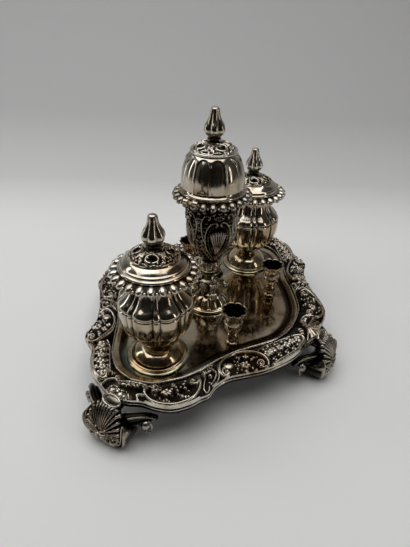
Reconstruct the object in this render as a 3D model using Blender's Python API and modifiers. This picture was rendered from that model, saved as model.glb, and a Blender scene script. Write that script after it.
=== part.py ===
"""Silver-plated desk inkstand: a footed cartouche tray with two lidded inkwells,
a hinged centre vase and four pen cups.

Units are metres and +Z is up. The origin is on the table under the middle of the
tray. +X runs along the tray's long axis and -Y is the long side that faces the writer.
"""

import math

import bmesh
import bpy
from mathutils import Matrix, Vector

# Scale and clearances
MM = 0.001
SEAT_GAP = 0.3 * MM
RUNNING_GAP = 0.35 * MM
CUT_OVERRUN = 2.0 * MM
MERGE_DISTANCE = 0.00001
SHARP_ANGLE = math.radians(38.0)
QUARTER_TURN = math.radians(90.0)

# Tray plan
FLOOR_HEIGHT = 29.0 * MM
SHEET = 1.5 * MM
WELL_HALF_LENGTH = 110.0 * MM
WELL_HALF_WIDTH = 75.0 * MM
BORDER_END_WIDTH = 20.0 * MM
BORDER_SIDE_WIDTH = 23.0 * MM
RIM_HALF_LENGTH = WELL_HALF_LENGTH + BORDER_END_WIDTH
RIM_HALF_WIDTH = WELL_HALF_WIDTH + BORDER_SIDE_WIDTH
RIM_BULGE = 24.0 * MM
WELL_BULGE = 14.0 * MM
WELL_BAND = 4.0 * MM
WELL_COVE = 3.0 * MM
BAND_RISE = 0.9 * MM
FLANGE_RISE = 2.2 * MM
FLANGE_INSET = 5.0 * MM
SIDE_STATIONS = 36
PAN_STATIONS = 12

# How far each side of the lozenge swells out from its straight chord, corner to corner,
# anticlockwise from the long end (first table) and from the short end (second table)
RIM_LONG_END_SHARES = (
    (0.0, 0.0), (0.05, 0.26), (0.1, 0.44), (0.145, 0.72), (0.2, 0.95), (0.275, 1.0), (0.33, 0.93),
    (0.365, 0.9), (0.41, 0.68), (0.48, 0.55), (0.56, 0.61), (0.64, 0.67), (0.74, 0.62), (0.84, 0.43),
    (0.9, 0.2), (0.95, 0.1), (1.0, 0.0),
)
RIM_SHORT_END_SHARES = (
    (0.0, 0.0), (0.05, 0.1), (0.09, 0.3), (0.15, 0.55), (0.22, 0.61), (0.31, 0.57), (0.4, 0.55),
    (0.48, 0.56), (0.55, 0.7), (0.62, 0.9), (0.66, 0.8), (0.72, 0.65), (0.8, 0.66), (0.86, 0.58),
    (0.92, 0.34), (0.96, 0.18), (1.0, 0.0),
)
WELL_LONG_END_SHARES = (
    (0.0, 0.0), (0.09, 0.68), (0.19, 0.89), (0.28, 0.96), (0.38, 0.82), (0.48, 0.59), (0.6, 0.46),
    (0.7, 0.5), (0.8, 0.54), (0.9, 0.44), (1.0, 0.0),
)
WELL_SHORT_END_SHARES = (
    (0.0, 0.0), (0.1, 0.54), (0.2, 0.86), (0.38, 0.96), (0.55, 0.89), (0.7, 1.0), (0.8, 1.0),
    (0.92, 0.68), (1.0, 0.0),
)

# Cast border
BORDER_CREST = 4.2 * MM
BORDER_INNER_LIFT = 1.5 * MM
BORDER_SKIRT_DROP = 4.0 * MM
BORDER_SKIRT_WALL = 2.6 * MM
BORDER_GROUND_SINK = 1.3 * MM
BORDER_FLOWER_RISE = 1.4 * MM
BORDER_FLOWERS = 12
BORDER_JOINT_GAP = 0.3 * MM
BORDER_CREST_SHARES = ((0.0, 0.0), (0.14, 0.4), (0.5, 1.0), (0.84, 0.74), (1.0, 0.4))
RIDGE_HALF_SHARE = 0.07

# Where the raised scroll runs between the well (0) and the rim (1) along every side: in at the
# corner, out round the convex lobe, over the bridge, in round the arch, and out along the panel
RIDGE_SHARES = (
    (0.0, 0.72), (0.06, 0.6), (0.095, 0.42), (0.12, 0.8), (0.16, 0.9), (0.27, 0.9), (0.31, 0.72),
    (0.33, 0.4), (0.38, 0.58), (0.42, 0.7), (0.445, 0.84), (0.46, 0.5), (0.5, 0.24), (0.56, 0.16),
    (0.62, 0.2), (0.665, 0.5), (0.685, 0.84), (0.73, 0.9), (0.91, 0.9), (1.0, 0.72),
)

# Feet
FOOT_WIDTH = 28.0 * MM
FOOT_WALL = 2.6 * MM
FOOT_REACH = 10.5 * MM
FOOT_SETBACK = 16.0 * MM
FOOT_SHELL_DROP = 2.6 * MM
FOOT_CROWN = 3.2 * MM
FOOT_RIB = 0.9 * MM
FOOT_RIBS = 6
FOOT_WING_REACH = 30.0 * MM
FOOT_WING_RADIUS = 3.4 * MM
FOOT_WING_SIDES = 6
FOOT_SEAT_WIDTH_SHARES = (0.5, 0.52, 0.54)
# One row for each section of a wing: its place outward, sideways and up, and its thickness
FOOT_WING_SHARES = (
    (0.45, 0.34, 0.7, 0.6), (0.3, 0.5, 0.77, 0.76), (0.0, 0.65, 0.78, 0.7), (-0.33, 0.8, 0.69, 0.56),
    (-0.53, 0.9, 0.59, 0.42), (-0.62, 0.94, 0.545, 0.9), (-0.7, 0.985, 0.5, 1.0),
    (-0.78, 1.03, 0.45, 0.6),
)
# One row each: the shell's outer face and the scroll's inner face as shares of the reach and
# of the height, then how wide the foot is there and how far its ribs stand out
FOOT_ROW_SHARES = (
    (0.34, 1.0, 0.14, 0.88, 0.66, 0.0), (0.65, 0.89, 0.25, 0.8, 0.82, 1.0),
    (0.88, 0.7, 0.19, 0.64, 0.96, 1.0), (1.0, 0.51, -0.14, 0.57, 1.0, 1.0),
    (0.95, 0.29, -0.34, 0.38, 0.94, 1.0), (0.76, 0.105, -0.27, 0.17, 0.8, 1.0),
    (0.48, 0.0, 0.06, 0.0, 0.6, 0.0),
)

# Fasteners that hold the vessels to the tray
STUD_RADIUS = 1.5 * MM
STUD_HOLE_RADIUS = 2.0 * MM
STUD_HEAD_RADIUS = 3.6 * MM
STUD_HEAD_HEIGHT = 1.4 * MM
STUD_END = 1.6 * MM
STUD_STEPS = 10
NUT_RADIUS = 4.2 * MM
NUT_HEIGHT = 2.6 * MM
NUT_SIDES = 6

# Inkwell bodies
INKWELL_END_ROOM = 33.0 * MM
INKWELL_X = WELL_HALF_LENGTH - INKWELL_END_ROOM
VESSEL_WALL = 1.1 * MM
BODY_LOBES = 8
BODY_LOBE_DEPTH = 1.6 * MM
BODY_LOBE_SHARES = ((0.27, 1.0), (0.63, 0.0), (0.77, 0.6), (0.91, 0.0))
INNER_POINT_STEP = 2
INKWELL_FOOT_RADIUS = 22.0 * MM
INKWELL_WAIST_RADIUS = 5.8 * MM
INKWELL_WAIST_HEIGHT = 13.6 * MM
INKWELL_SEAM_RADIUS = 26.2 * MM
INKWELL_SEAM_HEIGHT = 49.8 * MM
INKWELL_NECK_RADIUS = 18.2 * MM
INKWELL_NECK_HEIGHT = 72.0 * MM
INKWELL_FOOT_STEPS = 18
INKWELL_FOOT_SHARES = (
    (0.0, 1.0), (0.14, 0.8), (0.56, 0.52), (0.8, 0.25), (0.87, 0.1), (1.0, 0.08), (1.0, 0.0),
)
INKWELL_BOWL_SHARES = ((1.0, 1.0), (0.98, 0.7), (0.85, 0.42), (0.52, 0.17), (0.22, 0.0))
INKWELL_SHOULDER_SHARES = ((0.0, 1.0), (0.07, 0.7), (0.36, 0.42), (1.0, 0.0))

# Beaded collars
COLLAR_BEADS = 24
COLLAR_RADIUS = 30.0 * MM
COLLAR_BEAD_RADIUS = 2.0 * MM
COLLAR_BEAD_GROOVE = 1.5 * MM
COLLAR_HEIGHT = 4.2 * MM
COLLAR_LAND_RADIUS = 24.6 * MM

# Glass liners
LINER_RADIUS = 14.6 * MM
LINER_FLANGE_RADIUS = 18.4 * MM
LINER_FLANGE = 1.6 * MM
LINER_WALL = 2.0 * MM
LINER_BELOW_COLLAR = 34.0 * MM
LINER_STEPS = 16

# Inkwell lids
LID_RADIUS = 23.8 * MM
LID_HEIGHT = 12.5 * MM
LID_STEPS = 18
LID_SHARES = (
    (0.22, 1.0), (0.64, 0.72), (0.68, 0.58), (0.88, 0.38), (0.91, 0.2), (1.0, 0.17), (1.0, 0.0),
)

# Finials
FINIAL_RADIUS = 7.2 * MM
FINIAL_HEIGHT = 23.0 * MM
FINIAL_LOBES = 6
FINIAL_LOBE_DEPTH = 1.2 * MM
FINIAL_STUD_RADIUS = 1.3 * MM
FINIAL_BORE_RADIUS = 1.8 * MM
FINIAL_NUT_RADIUS = 3.2 * MM
FINIAL_NUT_HEIGHT = 1.8 * MM
FINIAL_STUD_END = 0.8 * MM
FINIAL_SHARES = (
    (0.24, 1.0, 0.0), (0.36, 0.93, 0.3), (0.44, 0.7, 0.6), (0.76, 0.48, 0.9), (1.0, 0.34, 1.0),
    (0.84, 0.2, 0.8), (0.42, 0.12, 0.0), (0.7, 0.04, 0.0), (0.7, 0.0, 0.0),
)

# Centre vase
VASE_BASE_RADIUS = 19.5 * MM
VASE_BASE_HEIGHT = 11.0 * MM
VASE_BASE_LOBES = 12
VASE_BASE_LOBE_DEPTH = 1.6 * MM
VASE_STEM_RADIUS = 10.0 * MM
VASE_STEM_HEIGHT = 33.0 * MM
VASE_KNOP_RADIUS = 9.6 * MM
VASE_KNOP_HEIGHT = 44.0 * MM
VASE_CUP_RADIUS = 22.0 * MM
VASE_CUP_HEIGHT = 97.0 * MM
VASE_LEAVES = 4
VASE_LEAF_RELIEF = 2.6 * MM
VASE_LEAF_SHARES = ((0.0, 0.2), (0.17, 1.0), (0.33, 0.35), (0.5, 0.75), (0.67, 0.35), (0.83, 1.0))
STEM_STEPS = 16
VASE_BORE_RADIUS = 2.2 * MM
VASE_BASE_SHARES = (
    (0.42, 1.0, 0.0), (0.62, 0.86, 1.0), (0.86, 0.5, 1.0), (0.88, 0.2, 0.0), (1.0, 0.17, 0.0),
    (1.0, 0.0, 0.0),
)
VASE_STEM_SHARES = (
    (0.7, 1.0), (0.96, 0.97), (0.96, 0.88), (0.72, 0.82), (0.72, 0.7), (1.0, 0.66), (1.0, 0.56),
    (0.64, 0.5), (0.66, 0.0),
)
VASE_KNOP_SHARES = ((0.62, 1.0), (0.92, 0.84), (1.0, 0.6), (0.68, 0.12), (0.74, 0.0))
VASE_CUP_SHARES = (
    (1.0, 1.0, 0.0), (0.98, 0.82, 1.0), (0.96, 0.5, 1.0), (0.87, 0.3, 1.0), (0.55, 0.12, 0.7),
    (0.28, 0.0, 0.0),
)
SCROLL_COUNT = 4
SCROLL_THICKNESS = 3.4 * MM
SCROLL_REACH = 15.5 * MM
SCROLL_ROOT = 4.0 * MM
SCROLL_HEIGHT = 12.0 * MM
SCROLL_SHARES = (
    (0.0, 0.0), (0.62, 0.0), (0.9, 0.1), (1.0, 0.34), (0.94, 0.58), (0.74, 0.68), (0.56, 0.6),
    (0.42, 0.86), (0.0, 1.0),
)

# Dome cover with its cap plate
DOME_RADIUS = 24.2 * MM
DOME_HEIGHT = 29.4 * MM
DOME_LOBES = 12
DOME_STEPS = 36
DOME_LOBE_DEPTH = 1.2 * MM
DOME_SHARES = (
    (0.98, 0.0, 0.0), (1.0, 0.05, 0.0), (1.0, 0.12, 1.0), (0.99, 0.48, 1.0), (0.88, 0.82, 1.0),
    (0.7, 1.0, 0.0), (0.22, 1.0, 0.0),
)
CAP_RADIUS = 17.0 * MM
CAP_HEIGHT = 6.0 * MM
CAP_SHARES = ((0.3, 1.0), (0.72, 0.62), (0.97, 0.24), (1.0, 0.12), (1.0, 0.0))
VASE_MOUTH_RADIUS = 20.2 * MM

# Hinge of the dome cover
HINGE_RADIUS = 2.0 * MM
HINGE_OFFSET = 1.5 * MM
HINGE_LIFT = 2.0 * MM
HINGE_PIN_RADIUS = 0.9 * MM
HINGE_KNUCKLE = 3.4 * MM
HINGE_STEPS = 10
HINGE_ARM = 1.5 * MM
HINGE_LUG_DROP = 3.4 * MM
HINGE_LUG_REACH = 5.0 * MM

# Pen cups
PEN_CUP_INKWELL_ROOM = 40.0 * MM
PEN_CUP_WELL_ROOM = 34.0 * MM
PEN_CUP_X = INKWELL_X - PEN_CUP_INKWELL_ROOM
PEN_CUP_Y = WELL_HALF_WIDTH - PEN_CUP_WELL_ROOM
PEN_CUP_HEIGHT = 31.0 * MM
PEN_CUP_RADIUS = 9.8 * MM
PEN_CUP_LOBES = 8
PEN_CUP_STEPS = 16
PEN_CUP_BORE = 4.3 * MM
PEN_CUP_BORE_DEPTH = 19.0 * MM
BORE_FLARE_SHARE = 0.3
PEN_CUP_LIP = 0.9 * MM
PEN_CUP_SCALLOP = 1.4 * MM
PEN_CUP_SHARES = (
    (1.0, 1.0), (0.64, 0.78), (0.7, 0.54), (0.38, 0.36), (0.47, 0.18), (0.34, 0.06), (0.56, 0.0),
)

# Finishes
SILVER = (0.66, 0.62, 0.55)
AGED_SILVER = (0.42, 0.38, 0.32)
BRIGHT_SILVER = (0.72, 0.70, 0.66)
BRASS = (0.62, 0.45, 0.2)
GLASS = (0.78, 0.86, 0.84)


def clear_scene():
    """Empty the scene, so that the model is the only thing in it."""
    for item in list(bpy.data.objects):
        bpy.data.objects.remove(item, do_unlink=True)


def collection(name):
    """A new collection in the scene."""
    group = bpy.data.collections.new(name)
    bpy.context.scene.collection.children.link(group)
    return group


def material(name, colour, roughness, metallic=1.0, alpha=1.0):
    """A principled material."""
    made = bpy.data.materials.new(name)
    made.use_nodes = True
    shader = made.node_tree.nodes["Principled BSDF"]
    shader.inputs["Base Color"].default_value = (*colour, 1.0)
    shader.inputs["Roughness"].default_value = roughness
    shader.inputs["Metallic"].default_value = metallic
    shader.inputs["Alpha"].default_value = alpha
    return made


def new_object(name, points, faces, finish, group, edges=()):
    """A mesh object from points and faces, shaded smooth with its sharp edges kept."""
    mesh = bpy.data.meshes.new(name)
    mesh.from_pydata([tuple(point) for point in points], list(edges), faces)
    if faces:
        work = bmesh.new()
        work.from_mesh(mesh)
        bmesh.ops.recalc_face_normals(work, faces=work.faces)
        work.to_mesh(mesh)
        work.free()
        mesh.shade_smooth()
        mesh.set_sharp_from_angle(angle=SHARP_ANGLE)
    mesh.materials.append(finish)
    item = bpy.data.objects.new(name, mesh)
    group.objects.link(item)
    return item


def turned(name, profile, steps, finish, group, place=(0.0, 0.0, 0.0), closed=True):
    """A turned piece: a profile of (radius, height) down its outer side, then up the inner."""
    count = len(profile)
    edges = [(i, i + 1) for i in range(count - 1)]
    if closed:
        edges.append((count - 1, 0))
    points = [(radius, 0.0, height) for radius, height in profile]
    item = new_object(name, points, [], finish, group, edges)
    item.location = place
    screw = item.modifiers.new("Turn", "SCREW")
    screw.axis = "Z"
    screw.angle = 2.0 * math.pi
    screw.steps = steps
    screw.render_steps = steps
    screw.use_merge_vertices = True
    screw.merge_threshold = MERGE_DISTANCE
    return item


def ring(radius, height, steps, wave, depth, drop=0.0):
    """One ring of points whose radius falls by depth, and height by drop, where the wave is low."""
    points = []
    for step in range(steps):
        angle = 2.0 * math.pi * step / steps
        low = 1.0 - wave(angle)
        reach = radius - depth * low
        points.append(Vector((reach * math.cos(angle), reach * math.sin(angle), height - drop * low)))
    return points


def lobed_ring(radius, height, lobes, shares, depth):
    """One ring of lobes; each takes its points from a table of (share of the lobe, fullness)."""
    points = []
    for lobe in range(lobes):
        for place, full in shares:
            angle = 2.0 * math.pi * (lobe + place) / lobes
            reach = radius - depth * (1.0 - full)
            points.append(Vector((reach * math.cos(angle), reach * math.sin(angle), height)))
    return points


def bridge(first, second, count):
    """The quads between two rings of points that start at first and second."""
    return [
        (first + i, first + (i + 1) % count, second + (i + 1) % count, second + i) for i in range(count)
    ]


def fluted(name, rings, finish, group, place=(0.0, 0.0, 0.0), closed=True):
    """A hollow piece lofted through unlike rings, closed on itself, or capped at its two ends."""
    count = len(rings[0])
    points = [point for loop in rings for point in loop]
    faces = []
    for i in range(len(rings) - 1):
        faces += bridge(i * count, (i + 1) * count, count)
    last = (len(rings) - 1) * count
    if closed:
        faces += bridge(last, 0, count)
    else:
        faces.append(tuple(range(count)))
        faces.append(tuple(range(last, last + count)))
    item = new_object(name, points, faces, finish, group)
    item.location = place
    return item


def flute_wave(count):
    """Rounded lobes that meet in a sharp groove."""
    return lambda angle: abs(math.sin(count * angle / 2.0))


def bead_wave(count):
    """A row of beads, full on each bead and low between two."""
    return lambda angle: 0.5 + 0.5 * math.cos(count * angle)


def scaled(shares, radius, low, high):
    """A profile of (radius, height) from a table of shares, between two heights."""
    return [(radius * share[0], low + (high - low) * share[1]) for share in shares]


def offset_profile(profile, wall, step=1):
    """The same open profile moved in by a wall, in reverse order, with its ends and each step kept."""
    inward = math.copysign(wall, profile[0][1] - profile[-1][1])
    moved = []
    for i, (radius, height) in enumerate(profile):
        before = profile[max(i - 1, 0)]
        after = profile[min(i + 1, len(profile) - 1)]
        run = Vector((after[0] - before[0], after[1] - before[1])).normalized()
        moved.append((radius + run.y * inward, height - run.x * inward))
    for end in (0, -1):
        moved[end] = (profile[end][0] - wall, profile[end][1])
    return [moved[i] for i in kept_points(len(moved), step)][::-1]


def kept_points(count, step):
    """The numbers of the points that a thinned profile keeps."""
    return [i for i in range(count) if i % step == 0 or i == count - 1]


def cut(item, cutter):
    """Cut a body from a piece with the exact solver."""
    modifier = item.modifiers.new("Cut", "BOOLEAN")
    modifier.operation = "DIFFERENCE"
    modifier.solver = "EXACT"
    modifier.object = cutter


def join(item, body):
    """Join a body to a piece with the exact solver."""
    modifier = item.modifiers.new("Join", "BOOLEAN")
    modifier.operation = "UNION"
    modifier.solver = "EXACT"
    modifier.object = body


def as_guide(item):
    """Mark a body that only cuts or joins."""
    item.hide_render = True
    item.display_type = "WIRE"
    return item


def rod(name, radius, length, steps, finish, group, place, turn=None):
    """A plain cylinder centred on a place, along Z unless it is turned."""
    mesh = bpy.data.meshes.new(name)
    work = bmesh.new()
    bmesh.ops.create_cone(
        work, cap_ends=True, segments=steps, radius1=radius, radius2=radius, depth=length
    )
    work.to_mesh(mesh)
    work.free()
    mesh.shade_smooth()
    mesh.set_sharp_from_angle(angle=SHARP_ANGLE)
    mesh.materials.append(finish)
    item = bpy.data.objects.new(name, mesh)
    item.matrix_world = Matrix.Translation(place) @ (turn or Matrix.Identity(4))
    group.objects.link(item)
    return item


def plate(name, outline, thickness, finish, group, matrix):
    """A flat plate with an outline in its own X and Y, centred on its thickness."""
    count = len(outline)
    half = thickness / 2.0
    points = [Vector((x, y, -half)) for x, y in outline] + [Vector((x, y, half)) for x, y in outline]
    faces = [tuple(reversed(range(count))), tuple(range(count, 2 * count))]
    faces += bridge(0, count, count)
    item = new_object(name, points, faces, finish, group)
    item.matrix_world = matrix
    return item


def read_curve(shares, t):
    """A smooth value between the points of a table of (place, value) shares."""
    last = len(shares) - 1
    i = 0
    while i < last - 1 and t > shares[i + 1][0]:
        i += 1
    start, end = shares[i], shares[i + 1]
    before, after = shares[max(i - 1, 0)], shares[min(i + 2, last)]
    span = end[0] - start[0]
    rise_start = (end[1] - before[1]) / (end[0] - before[0])
    rise_end = (after[1] - start[1]) / (after[0] - start[0])
    u = (t - start[0]) / span
    return (
        start[1] * (1.0 + 2.0 * u) * (1.0 - u) ** 2
        + rise_start * span * u * (1.0 - u) ** 2
        + end[1] * u * u * (3.0 - 2.0 * u)
        + rise_end * span * u * u * (u - 1.0)
    )


def corner(index, half_length, half_width):
    """One of the lozenge's four corners, anticlockwise from the -X end."""
    places = (
        (-half_length, 0.0), (0.0, -half_width), (half_length, 0.0), (0.0, half_width),
    )
    return Vector(places[index % 4])


def side_point(index, t, half_length, half_width, bulge, tables):
    """A point on one side of a bulged lozenge."""
    start = corner(index, half_length, half_width)
    end = corner(index + 1, half_length, half_width)
    run = end - start
    outward = Vector((run.y, -run.x)).normalized()
    return start + run * t + outward * bulge * read_curve(tables[index % 2], t)


def rim_point(index, t):
    """A point on the border's outer edge."""
    tables = (RIM_LONG_END_SHARES, RIM_SHORT_END_SHARES)
    return side_point(index, t, RIM_HALF_LENGTH, RIM_HALF_WIDTH, RIM_BULGE, tables)


def well_point(index, t):
    """A point on the border's inner edge, round the well."""
    tables = (WELL_LONG_END_SHARES, WELL_SHORT_END_SHARES)
    return side_point(index, t, WELL_HALF_LENGTH, WELL_HALF_WIDTH, WELL_BULGE, tables)


def towards(start, end, distance):
    """The point at a distance from start towards end."""
    return start + (end - start).normalized() * distance


def tray_outline(inset_from_rim=None, inset_from_well=None):
    """A closed outline of the pan, at an inset from the rim or inside the well's edge."""
    outline = []
    for index in range(4):
        for station in range(PAN_STATIONS):
            t = station / PAN_STATIONS
            outer = rim_point(index, t)
            inner = well_point(index, t)
            if inset_from_rim is not None:
                outline.append(towards(outer, inner, inset_from_rim))
            else:
                outline.append(towards(inner, Vector((0.0, 0.0)), inset_from_well))
    return outline


def vessel_places():
    """Where the studs of the vessels pass through the pan."""
    places = [(-INKWELL_X, 0.0), (0.0, 0.0), (INKWELL_X, 0.0)]
    places += [(sx * PEN_CUP_X, sy * PEN_CUP_Y) for sx in (-1.0, 1.0) for sy in (-1.0, 1.0)]
    return places


def build_pan(parts, cutters, finish):
    """The dished tray: a flat floor, a cove, a smooth band and the flange under the border."""
    top = [
        (tray_outline(inset_from_well=WELL_BAND + WELL_COVE), FLOOR_HEIGHT),
        (tray_outline(inset_from_well=WELL_BAND), FLOOR_HEIGHT + BAND_RISE),
        (tray_outline(inset_from_well=0.0), FLOOR_HEIGHT + FLANGE_RISE),
        (tray_outline(inset_from_rim=FLANGE_INSET), FLOOR_HEIGHT + FLANGE_RISE),
    ]
    rings = [[Vector((p.x, p.y, z)) for p in outline] for outline, z in top]
    rings += [[p - Vector((0.0, 0.0, SHEET)) for p in loop] for loop in reversed(rings)]
    pan = fluted("tray_pan", rings, finish, parts, closed=False)
    for number, (x, y) in enumerate(vessel_places()):
        hole = rod(
            f"cut_stud_hole_{number}", STUD_HOLE_RADIUS, SHEET + 2.0 * CUT_OVERRUN, STUD_STEPS, finish,
            cutters, Vector((x, y, FLOOR_HEIGHT - SHEET / 2.0)),
        )
        cut(pan, as_guide(hole))
    return pan


def border_section(index, t):
    """The border's cross-section at one station: ground, scroll ridge, ground, edge and skirt."""
    outer = rim_point(index, t)
    inner = well_point(index, t)
    seat = FLOOR_HEIGHT + FLANGE_RISE + SEAT_GAP
    across = outer - inner
    ridge = read_curve(RIDGE_SHARES, t)
    flowers = -BORDER_GROUND_SINK + BORDER_FLOWER_RISE * bead_wave(BORDER_FLOWERS)(2.0 * math.pi * t)
    places = (
        (0.0, 0.0), (ridge / 2.0, flowers), (ridge - RIDGE_HALF_SHARE, -BORDER_GROUND_SINK), (ridge, 0.0),
        (ridge + RIDGE_HALF_SHARE, -BORDER_GROUND_SINK), ((1.0 + ridge + RIDGE_HALF_SHARE) / 2.0, flowers),
        (1.0, 0.0),
    )
    section = [(inner, seat)]
    for place, relief in places:
        crest = BORDER_CREST * read_curve(BORDER_CREST_SHARES, place)
        full = 1.0 if RIDGE_HALF_SHARE < place < 1.0 - RIDGE_HALF_SHARE else 0.0
        section.append((inner + across * place, seat + BORDER_INNER_LIFT + crest + relief * full))
    section.append((outer, seat - BORDER_SKIRT_DROP))
    skirt = towards(outer, inner, BORDER_SKIRT_WALL)
    section.append((skirt, seat - BORDER_SKIRT_DROP))
    section.append((skirt, seat))
    return [Vector((p.x, p.y, z)) for p, z in section]


def build_border(parts, finish):
    """Four cast border sections, corner to corner, which rest on the pan's flange."""
    span = (corner(1, RIM_HALF_LENGTH, RIM_HALF_WIDTH) - corner(0, RIM_HALF_LENGTH, RIM_HALF_WIDTH)).length
    end_share = BORDER_JOINT_GAP / span
    for index in range(4):
        sections = []
        for station in range(SIDE_STATIONS + 1):
            t = end_share + (1.0 - 2.0 * end_share) * station / SIDE_STATIONS
            sections.append(border_section(index, t))
        fluted(f"border_side_{index + 1}", sections, finish, parts, closed=False)


def foot_rows():
    """The foot in side view, one row each: outer point, inner point, half width and rib height."""
    top = FLOOR_HEIGHT - FOOT_SHELL_DROP
    seat = FLOOR_HEIGHT + FLANGE_RISE - SHEET - SEAT_GAP
    near = FLANGE_INSET + BORDER_SKIRT_WALL
    half = FOOT_WIDTH / 2.0
    rows = []
    starts = (
        (-FOOT_SETBACK, seat, -FOOT_SETBACK), (-near, seat, -near), (-near, top, FOOT_WALL - near),
    )
    for (x, z, inner_x), width in zip(starts, FOOT_SEAT_WIDTH_SHARES):
        rows.append((Vector((x, z)), Vector((inner_x, top - FOOT_WALL)), half * width, 0.0))
    for reach, rise, inner_reach, inner_rise, width, relief in FOOT_ROW_SHARES:
        outer = Vector((FOOT_REACH * reach, top * rise))
        inner = Vector((FOOT_REACH * inner_reach, top * inner_rise))
        rows.append((outer, inner, half * width, relief))
    return rows


def build_foot(number, parts, cutters, finish):
    """A cast scroll foot: its seat under the pan, the ribbed shell, and the scroll it rests on."""
    rows = foot_rows()
    columns = 2 * FOOT_RIBS
    outer_points = []
    inner_points = []
    for row, (outer, inner, half, relief) in enumerate(rows):
        run = rows[min(row + 1, len(rows) - 1)][0] - rows[max(row - 1, 0)][0]
        normal = Vector((-run.y, 0.0, run.x)).normalized()
        for column in range(columns + 1):
            v = 2.0 * column / columns - 1.0
            swell = relief * (FOOT_CROWN * (1.0 - v * v) + FOOT_RIB * math.cos(math.pi * FOOT_RIBS * v))
            outer_points.append(Vector((outer.x, half * v, outer.y)) + normal * swell)
            inner_points.append(Vector((inner.x, half * v, inner.y)))
    width = columns + 1
    offset = len(outer_points)
    faces = []
    for row in range(len(rows) - 1):
        for column in range(columns):
            a = row * width + column
            faces.append((a, a + 1, a + 1 + width, a + width))
            faces.append((offset + a, offset + a + width, offset + a + 1 + width, offset + a + 1))
        for column in (0, columns):
            a = row * width + column
            faces.append((a, a + width, offset + a + width, offset + a))
    for row in (0, len(rows) - 1):
        for column in range(columns):
            a = row * width + column
            faces.append((a, a + 1, offset + a + 1, offset + a))
    place = corner(number - 1, RIM_HALF_LENGTH, RIM_HALF_WIDTH)
    foot = new_object(f"foot_{number}", outer_points + inner_points, faces, finish, parts)
    foot.location = (place.x, place.y, 0.0)
    foot.rotation_euler = (0.0, 0.0, math.atan2(place.y, place.x))
    for side in (-1.0, 1.0):
        wing = foot_wing(f"join_wing_{number}_{side:+.0f}", side, finish, cutters)
        wing.location = foot.location
        wing.rotation_euler = foot.rotation_euler
        join(foot, as_guide(wing))
    return foot


def foot_wing(name, side, finish, group):
    """The bracket beside a foot: a tapering arm under the rim that ends in a ball."""
    top = FLOOR_HEIGHT - FOOT_SHELL_DROP
    path = [
        Vector((FOOT_REACH * x, side * FOOT_WING_REACH * y, top * z)) for x, y, z, _ in FOOT_WING_SHARES
    ]
    rings = []
    for i, centre in enumerate(path):
        along = (path[min(i + 1, len(path) - 1)] - path[max(i - 1, 0)]).normalized()
        across = along.cross(Vector((0.0, 0.0, 1.0))).normalized()
        over = across.cross(along)
        radius = FOOT_WING_RADIUS * FOOT_WING_SHARES[i][3]
        rings.append([
            centre + (across * math.cos(angle) + over * math.sin(angle)) * radius
            for angle in (2.0 * math.pi * step / FOOT_WING_SIDES for step in range(FOOT_WING_SIDES))
        ])
    return fluted(name, rings, finish, group, closed=False)


def between(shares, low_radius, high_radius, low, high):
    """A profile of (radius, height) from shares of a range of radii and a range of heights."""
    return [
        (low_radius + (high_radius - low_radius) * r, low + (high - low) * h) for r, h in shares
    ]


def pierced_shell(profile, wall, bore, step=INNER_POINT_STEP):
    """A thin turned shell whose closed end has a bore; the profile ends at that closed end."""
    inner = offset_profile(profile, wall, step)
    end_radius, end_height = profile[-1]
    level = end_height + math.copysign(wall, profile[0][1] - end_height)
    inner[0] = (max(end_radius - wall, bore + wall), level)
    return profile + [(bore, end_height), (bore, level)] + inner


def build_inkwell(tag, x, parts, finishes):
    """One lidded inkwell: foot, bowl, shoulder, collar, liner, lid, finial and their fasteners."""
    place = Vector((x, 0.0, FLOOR_HEIGHT))
    foot = between(
        INKWELL_FOOT_SHARES, INKWELL_WAIST_RADIUS, INKWELL_FOOT_RADIUS, SEAT_GAP, INKWELL_WAIST_HEIGHT,
    )
    foot += [(STUD_HOLE_RADIUS, SEAT_GAP), (STUD_HOLE_RADIUS, INKWELL_WAIST_HEIGHT)]
    turned(f"inkwell_{tag}_foot", foot, INKWELL_FOOT_STEPS, finishes["silver"], parts, place)
    bowl_low = INKWELL_WAIST_HEIGHT + SEAT_GAP
    bowl = scaled(INKWELL_BOWL_SHARES, INKWELL_SEAM_RADIUS, bowl_low, INKWELL_SEAM_HEIGHT)
    build_lobed_shell(
        f"inkwell_{tag}_bowl", pierced_shell(bowl, VESSEL_WALL, STUD_HOLE_RADIUS),
        INKWELL_SEAM_RADIUS / 2.0, finishes["silver"], parts, place,
    )
    shoulder = between(
        INKWELL_SHOULDER_SHARES, INKWELL_NECK_RADIUS, INKWELL_SEAM_RADIUS,
        INKWELL_SEAM_HEIGHT + SEAT_GAP, INKWELL_NECK_HEIGHT,
    )
    build_lobed_shell(
        f"inkwell_{tag}_shoulder", shoulder + offset_profile(shoulder, VESSEL_WALL), 0.0,
        finishes["silver"], parts, place,
    )
    collar_low = INKWELL_NECK_HEIGHT + SEAT_GAP
    liner_hole = LINER_RADIUS + SEAT_GAP
    build_collar(f"inkwell_{tag}_collar", liner_hole, collar_low, finishes["cast"], parts, place)
    land = collar_low + COLLAR_HEIGHT
    build_liner(f"inkwell_{tag}_liner", land + SEAT_GAP, finishes["glass"], parts, place)
    lid_low = land + SEAT_GAP
    lid = scaled(LID_SHARES, LID_RADIUS, lid_low, lid_low + LID_HEIGHT)[::-1]
    turned(
        f"inkwell_{tag}_lid", pierced_shell(lid, VESSEL_WALL, FINIAL_BORE_RADIUS)[::-1], LID_STEPS,
        finishes["silver"], parts, place,
    )
    lid_top = lid_low + LID_HEIGHT
    build_finial(f"inkwell_{tag}", lid_top, VESSEL_WALL, finishes, parts, place)
    build_stud(f"inkwell_{tag}", bowl_low + VESSEL_WALL, finishes, parts, place)


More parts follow.
